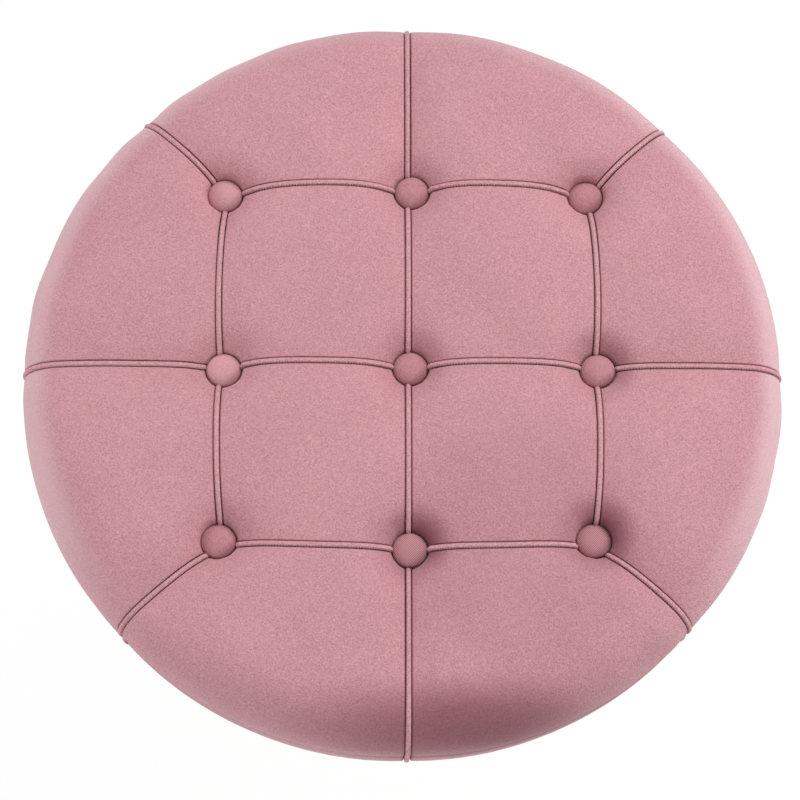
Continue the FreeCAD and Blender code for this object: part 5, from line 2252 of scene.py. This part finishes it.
@dataclass
class DustCover:
    """Black cloth stapled under the board, cut out square round the four leg plates."""

    effects: EffectLibrary
    radius: float = 0.172
    thickness: float = 0.0005
    leg_circle: float = 0.108
    window: float = 0.058
    first_leg: float = 45.0
    spacing: float = 0.0025
    trim: float = 0.0008
    overlap: float = 0.001
    hang: float = 0.00002
    sag: float = 0.00025
    sag_waves: tuple[float, float] = (95.0, 83.0)
    sag_fade: tuple[float, float] = (0.145, 0.158)

    def lines(self) -> Array:
        """Grid lines across the cloth, with one at each side of every window."""
        half = self.window / 2.0
        middles = (-self.leg_circle, 0.0, self.leg_circle)
        fixed = [middle + side for middle in middles for side in (-half, half)]
        past = self.radius + self.overlap
        stops = [-past, *fixed, past]
        runs = [
            np.linspace(low, high, max(2, int(round((high - low) / self.spacing)) + 1))
            for low, high in zip(stops[:-1], stops[1:])
        ]
        return np.unique(np.round(np.concatenate(runs), 7))

    def build(self) -> list[bpy.types.Object]:
        """The sheet: a square net in the legs' own directions, trimmed to a disc with windows."""
        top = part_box("dust_cover")[1][2]
        line = self.lines()
        x, y = np.meshgrid(line, line, indexing="ij")
        middle_x, middle_y = (x[:-1, :-1] + x[1:, 1:]) / 2.0, (y[:-1, :-1] + y[1:, 1:]) / 2.0
        keep = np.hypot(x, y)
        nearest = np.minimum.reduce([keep[:-1, :-1], keep[1:, :-1], keep[1:, 1:], keep[:-1, 1:]])
        inside = nearest < self.radius - self.trim
        half = self.window / 2.0
        for centre_x, centre_y in ((1, 0), (0, 1), (-1, 0), (0, -1)):
            near_x = np.abs(middle_x - centre_x * self.leg_circle) < half
            near_y = np.abs(middle_y - centre_y * self.leg_circle) < half
            inside &= ~(near_x & near_y)
        reach = np.maximum(keep, 1e-9)
        pull = np.minimum(1.0, self.radius / reach)
        turn = math.radians(self.first_leg)
        flat_x, flat_y = x * pull, y * pull
        wide, narrow = self.sag_waves
        sag = self.sag * np.sin(flat_x * wide + 1.0) * np.sin(flat_y * narrow)
        sag = sag * (1.0 - smooth_step(keep, *self.sag_fade))
        points = np.stack([
            flat_x * math.cos(turn) - flat_y * math.sin(turn),
            flat_x * math.sin(turn) + flat_y * math.cos(turn),
            top - self.hang + sag,
        ], axis=-1)
        faces = grid_faces(*x.shape)[inside.reshape(-1)]
        used = np.unique(faces)
        number = np.zeros(x.size, int)
        number[used] = np.arange(len(used))
        parts = MeshParts()
        parts.add(points.reshape(-1, 3)[used], number[faces], uv=points.reshape(-1, 3)[used][:, :2])
        piece = parts.build("dust_cover_cloth", DustCloth().material(self.effects))
        solid = piece.modifiers.new("thickness", "SOLIDIFY")
        solid.thickness = self.thickness - 2.0 * self.hang
        solid.offset = -1.0
        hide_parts("dust_cover")
        return [piece]


@dataclass
class FrameHardware:
    """Rigid parts whose shape the construction already gives; each gets its own finish."""

    effects: EffectLibrary

    def finishes(self) -> dict[str, Finish]:
        """Finish for every prefix of a node's name."""
        zinc = BrushedMetal(
            "zinc_plated_steel", light=(214.0, 216.0, 218.0), dark=(176.0, 179.0, 183.0),
            roughness=(0.28, 0.42), fineness=1500.0, depth=0.00002,
        )
        wire = BrushedMetal(
            "bright_wire", light=(206.0, 206.0, 208.0), dark=(150.0, 150.0, 154.0),
            roughness=(0.2, 0.36), fineness=2600.0, depth=0.00001,
        )
        return {
            "leg_plate_": PowderCoat(), "leg_studs": zinc, "leg_nuts": zinc, "leg_": BrushedMetal(),
            "glide_": GlidePlastic(), "plate_screws": zinc, "twine_washers": zinc, "button_eyes": wire,
            "seat_board": Plywood(), "hem_staples": wire, "dust_cover_staples": wire,
        }

    def build(self) -> list[bpy.types.Object]:
        """Assign the finishes to the nodes that stay."""
        dressed = []
        finishes = self.finishes()
        for name, node in sorted(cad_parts.items()):
            if node.hide_render:
                continue
            finish = next((finish for prefix, finish in finishes.items() if name.startswith(prefix)), None)
            if finish is None:
                raise ValueError(f"no finish for {name}")
            material = finish.material(self.effects)
            if node.material_slots:
                for slot in node.material_slots:
                    slot.material = material
            else:
                node.data.materials.append(material)
            dressed.append(node)
        return dressed


# Studio


@dataclass(frozen=True)
class SoftLamp:
    """Square soft box aimed at the seat."""

    name: str
    place: tuple[float, float, float]
    width: float
    power: float
    target: tuple[float, float, float] = (0.0, 0.0, 0.42)

    def build(self) -> bpy.types.Object:
        """Area light whose face looks at its target."""
        data = bpy.data.lights.new(self.name, "AREA")
        data.shape = "SQUARE"
        data.size = self.width
        data.energy = self.power
        lamp = bpy.data.objects.new(self.name, data)
        bpy.context.scene.collection.objects.link(lamp)
        lamp.location = self.place
        lamp.rotation_mode = "QUATERNION"
        lamp.rotation_quaternion = (Vector(self.target) - Vector(self.place)).to_track_quat("-Z", "Y")
        return lamp


@dataclass(frozen=True)
class StudioCamera:
    """Camera high in front of the stool and a little to its left, long lens."""

    aim: tuple[float, float, float] = (-0.002172, -0.020171, 0.440)
    azimuth: float = -3.2365
    elevation: float = 72.2801
    roll: float = -0.0552
    distance: float = 1.80627
    lens: float = 145.553
    sensor: float = 36.0
    clip: tuple[float, float] = (0.05, 60.0)

    def build(self) -> bpy.types.Object:
        """Make the camera the scene's camera.

        It stands at aim + distance (sin a cos e, -cos a cos e, sin e) and looks back at the aim,
        with the seat's back upwards in the picture.
        """
        a, e = math.radians(self.azimuth), math.radians(self.elevation)
        back = Vector((math.sin(a) * math.cos(e), -math.cos(a) * math.cos(e), math.sin(e)))
        up = (Vector((0.0, 1.0, 0.0)) - back * back.y).normalized()
        right = up.cross(back)
        r = math.radians(self.roll)
        level = right * math.cos(r) + up * math.sin(r)
        upright = up * math.cos(r) - right * math.sin(r)
        data = bpy.data.cameras.new("studio_camera")
        data.lens = self.lens
        data.sensor_width = self.sensor
        data.clip_start, data.clip_end = self.clip
        camera = bpy.data.objects.new("studio_camera", data)
        bpy.context.scene.collection.objects.link(camera)
        turn = Matrix((level, upright, back)).transposed()
        camera.matrix_world = Matrix.Translation(Vector(self.aim) + back * self.distance) @ turn.to_4x4()
        bpy.context.scene.camera = camera
        return camera


@dataclass
class Studio:
    """White floor, plain surrounding light and three soft boxes."""

    surround: float = 0.42
    floor_size: float = 14.0
    floor_points: int = 9
    floor_shades: tuple[Colour, Colour] = ((240.0, 240.0, 240.0), (246.0, 246.0, 246.0))
    floor_glow: float = 1.02
    floor_white: float = 0.94
    lamps: tuple[SoftLamp, ...] = (
        SoftLamp("key_soft_box", (1.2, 1.4, 2.6), 1.5, 46.0),
        SoftLamp("right_soft_box", (2.4, -0.9, 1.4), 1.2, 18.0),
        SoftLamp("left_soft_box", (-2.4, -0.6, 1.3), 1.2, 24.0),
    )

    def white_rays(self, graph: NodeGraph) -> bpy.types.NodeSocket:
        """One where a ray comes from the camera, a reflection or through glass.

        Args:
            graph: The nodes to add to.

        Returns:
            The mask.
        """
        path = graph.add("ShaderNodeLightPath")
        seen = graph.maths("MAXIMUM", path.outputs["Is Camera Ray"], path.outputs["Is Glossy Ray"])
        return graph.maths("MAXIMUM", seen, path.outputs["Is Transmission Ray"])

    def world(self) -> None:
        """Surrounding light, white where it is seen directly."""
        world = bpy.data.worlds.new("studio_surround")
        world.use_nodes = True
        world.node_tree.nodes.clear()
        graph = NodeGraph(world.node_tree)
        light = graph.add("ShaderNodeBackground", {"Color": WHITE, "Strength": self.surround})
        white = graph.add("ShaderNodeBackground", {"Color": WHITE, "Strength": 1.0})
        share = self.white_rays(graph)
        mix = graph.add("ShaderNodeMixShader", {0: share, 1: light.outputs[0], 2: white.outputs[0]})
        graph.add("ShaderNodeOutputWorld", {"Surface": mix.outputs[0]})
        bpy.context.scene.world = world

    def floor(self) -> bpy.types.Object:
        """Pale floor that keeps a soft shadow and can be seen through from below."""
        half = self.floor_size / 2.0
        line = np.linspace(-half, half, self.floor_points)
        x, y = np.meshgrid(line, line, indexing="ij")
        mesh = bpy.data.meshes.new("studio_floor")
        points = np.stack([x, y, 0.0 * x], axis=-1).reshape(-1, 3)
        mesh.from_pydata(points.tolist(), [], grid_faces(*x.shape).tolist())
        material = bpy.data.materials.new("studio_floor_white")
        material.use_nodes = True
        material.node_tree.nodes.clear()
        graph = NodeGraph(material.node_tree)
        grain = graph.noise(graph.add("ShaderNodeTexCoord").outputs["Object"], 3.0)
        tone = graph.mixed(grain, *(rgba(shade) for shade in self.floor_shades))
        matt = graph.add("ShaderNodeBsdfDiffuse", {"Color": tone})
        white = graph.add("ShaderNodeEmission", {"Color": WHITE, "Strength": self.floor_glow})
        share = graph.maths("MULTIPLY", self.white_rays(graph), self.floor_white)
        seen = graph.add("ShaderNodeMixShader", {0: share, 1: matt.outputs[0], 2: white.outputs[0]})
        clear = graph.add("ShaderNodeBsdfTransparent")
        behind = graph.add("ShaderNodeNewGeometry").outputs["Backfacing"]
        both = graph.add("ShaderNodeMixShader", {0: behind, 1: seen.outputs[0], 2: clear.outputs[0]})
        graph.add("ShaderNodeOutputMaterial", {"Surface": both.outputs[0]})
        mesh.materials.append(material)
        floor = bpy.data.objects.new("studio_floor", mesh)
        bpy.context.scene.collection.objects.link(floor)
        return floor

    def build(self) -> None:
        """World, floor, lamps and camera."""
        self.world()
        self.floor()
        for lamp in self.lamps:
            lamp.build()
        StudioCamera().build()
        bpy.context.scene.view_settings.view_transform = "Standard"


def main() -> None:
    """Dress the stool from the cover inwards, then set up the studio."""
    logging.basicConfig(level=logging.INFO, format="%(name)s: %(message)s")
    sizes = SeatSizes()
    pattern = Pattern(sizes)
    pits = TuftPits.of_buttons()
    effects = EffectLibrary()
    builders = (
        TuftedCrown(sizes, pattern, pits, effects),
        SideBand(sizes, pattern, effects),
        SeamWelts(sizes, pattern, pits, effects),
        CoveredButtons(pits, effects),
        TuftingTwine(pits, effects),
        FoamSlab(sizes, effects),
        DustCover(effects),
        FrameHardware(effects),
    )
    for builder in builders:
        for piece in builder.build():
            log.info("%s: %d points", piece.name, len(piece.data.vertices))
    Studio().build()


if __name__ == "__main__":
    main()
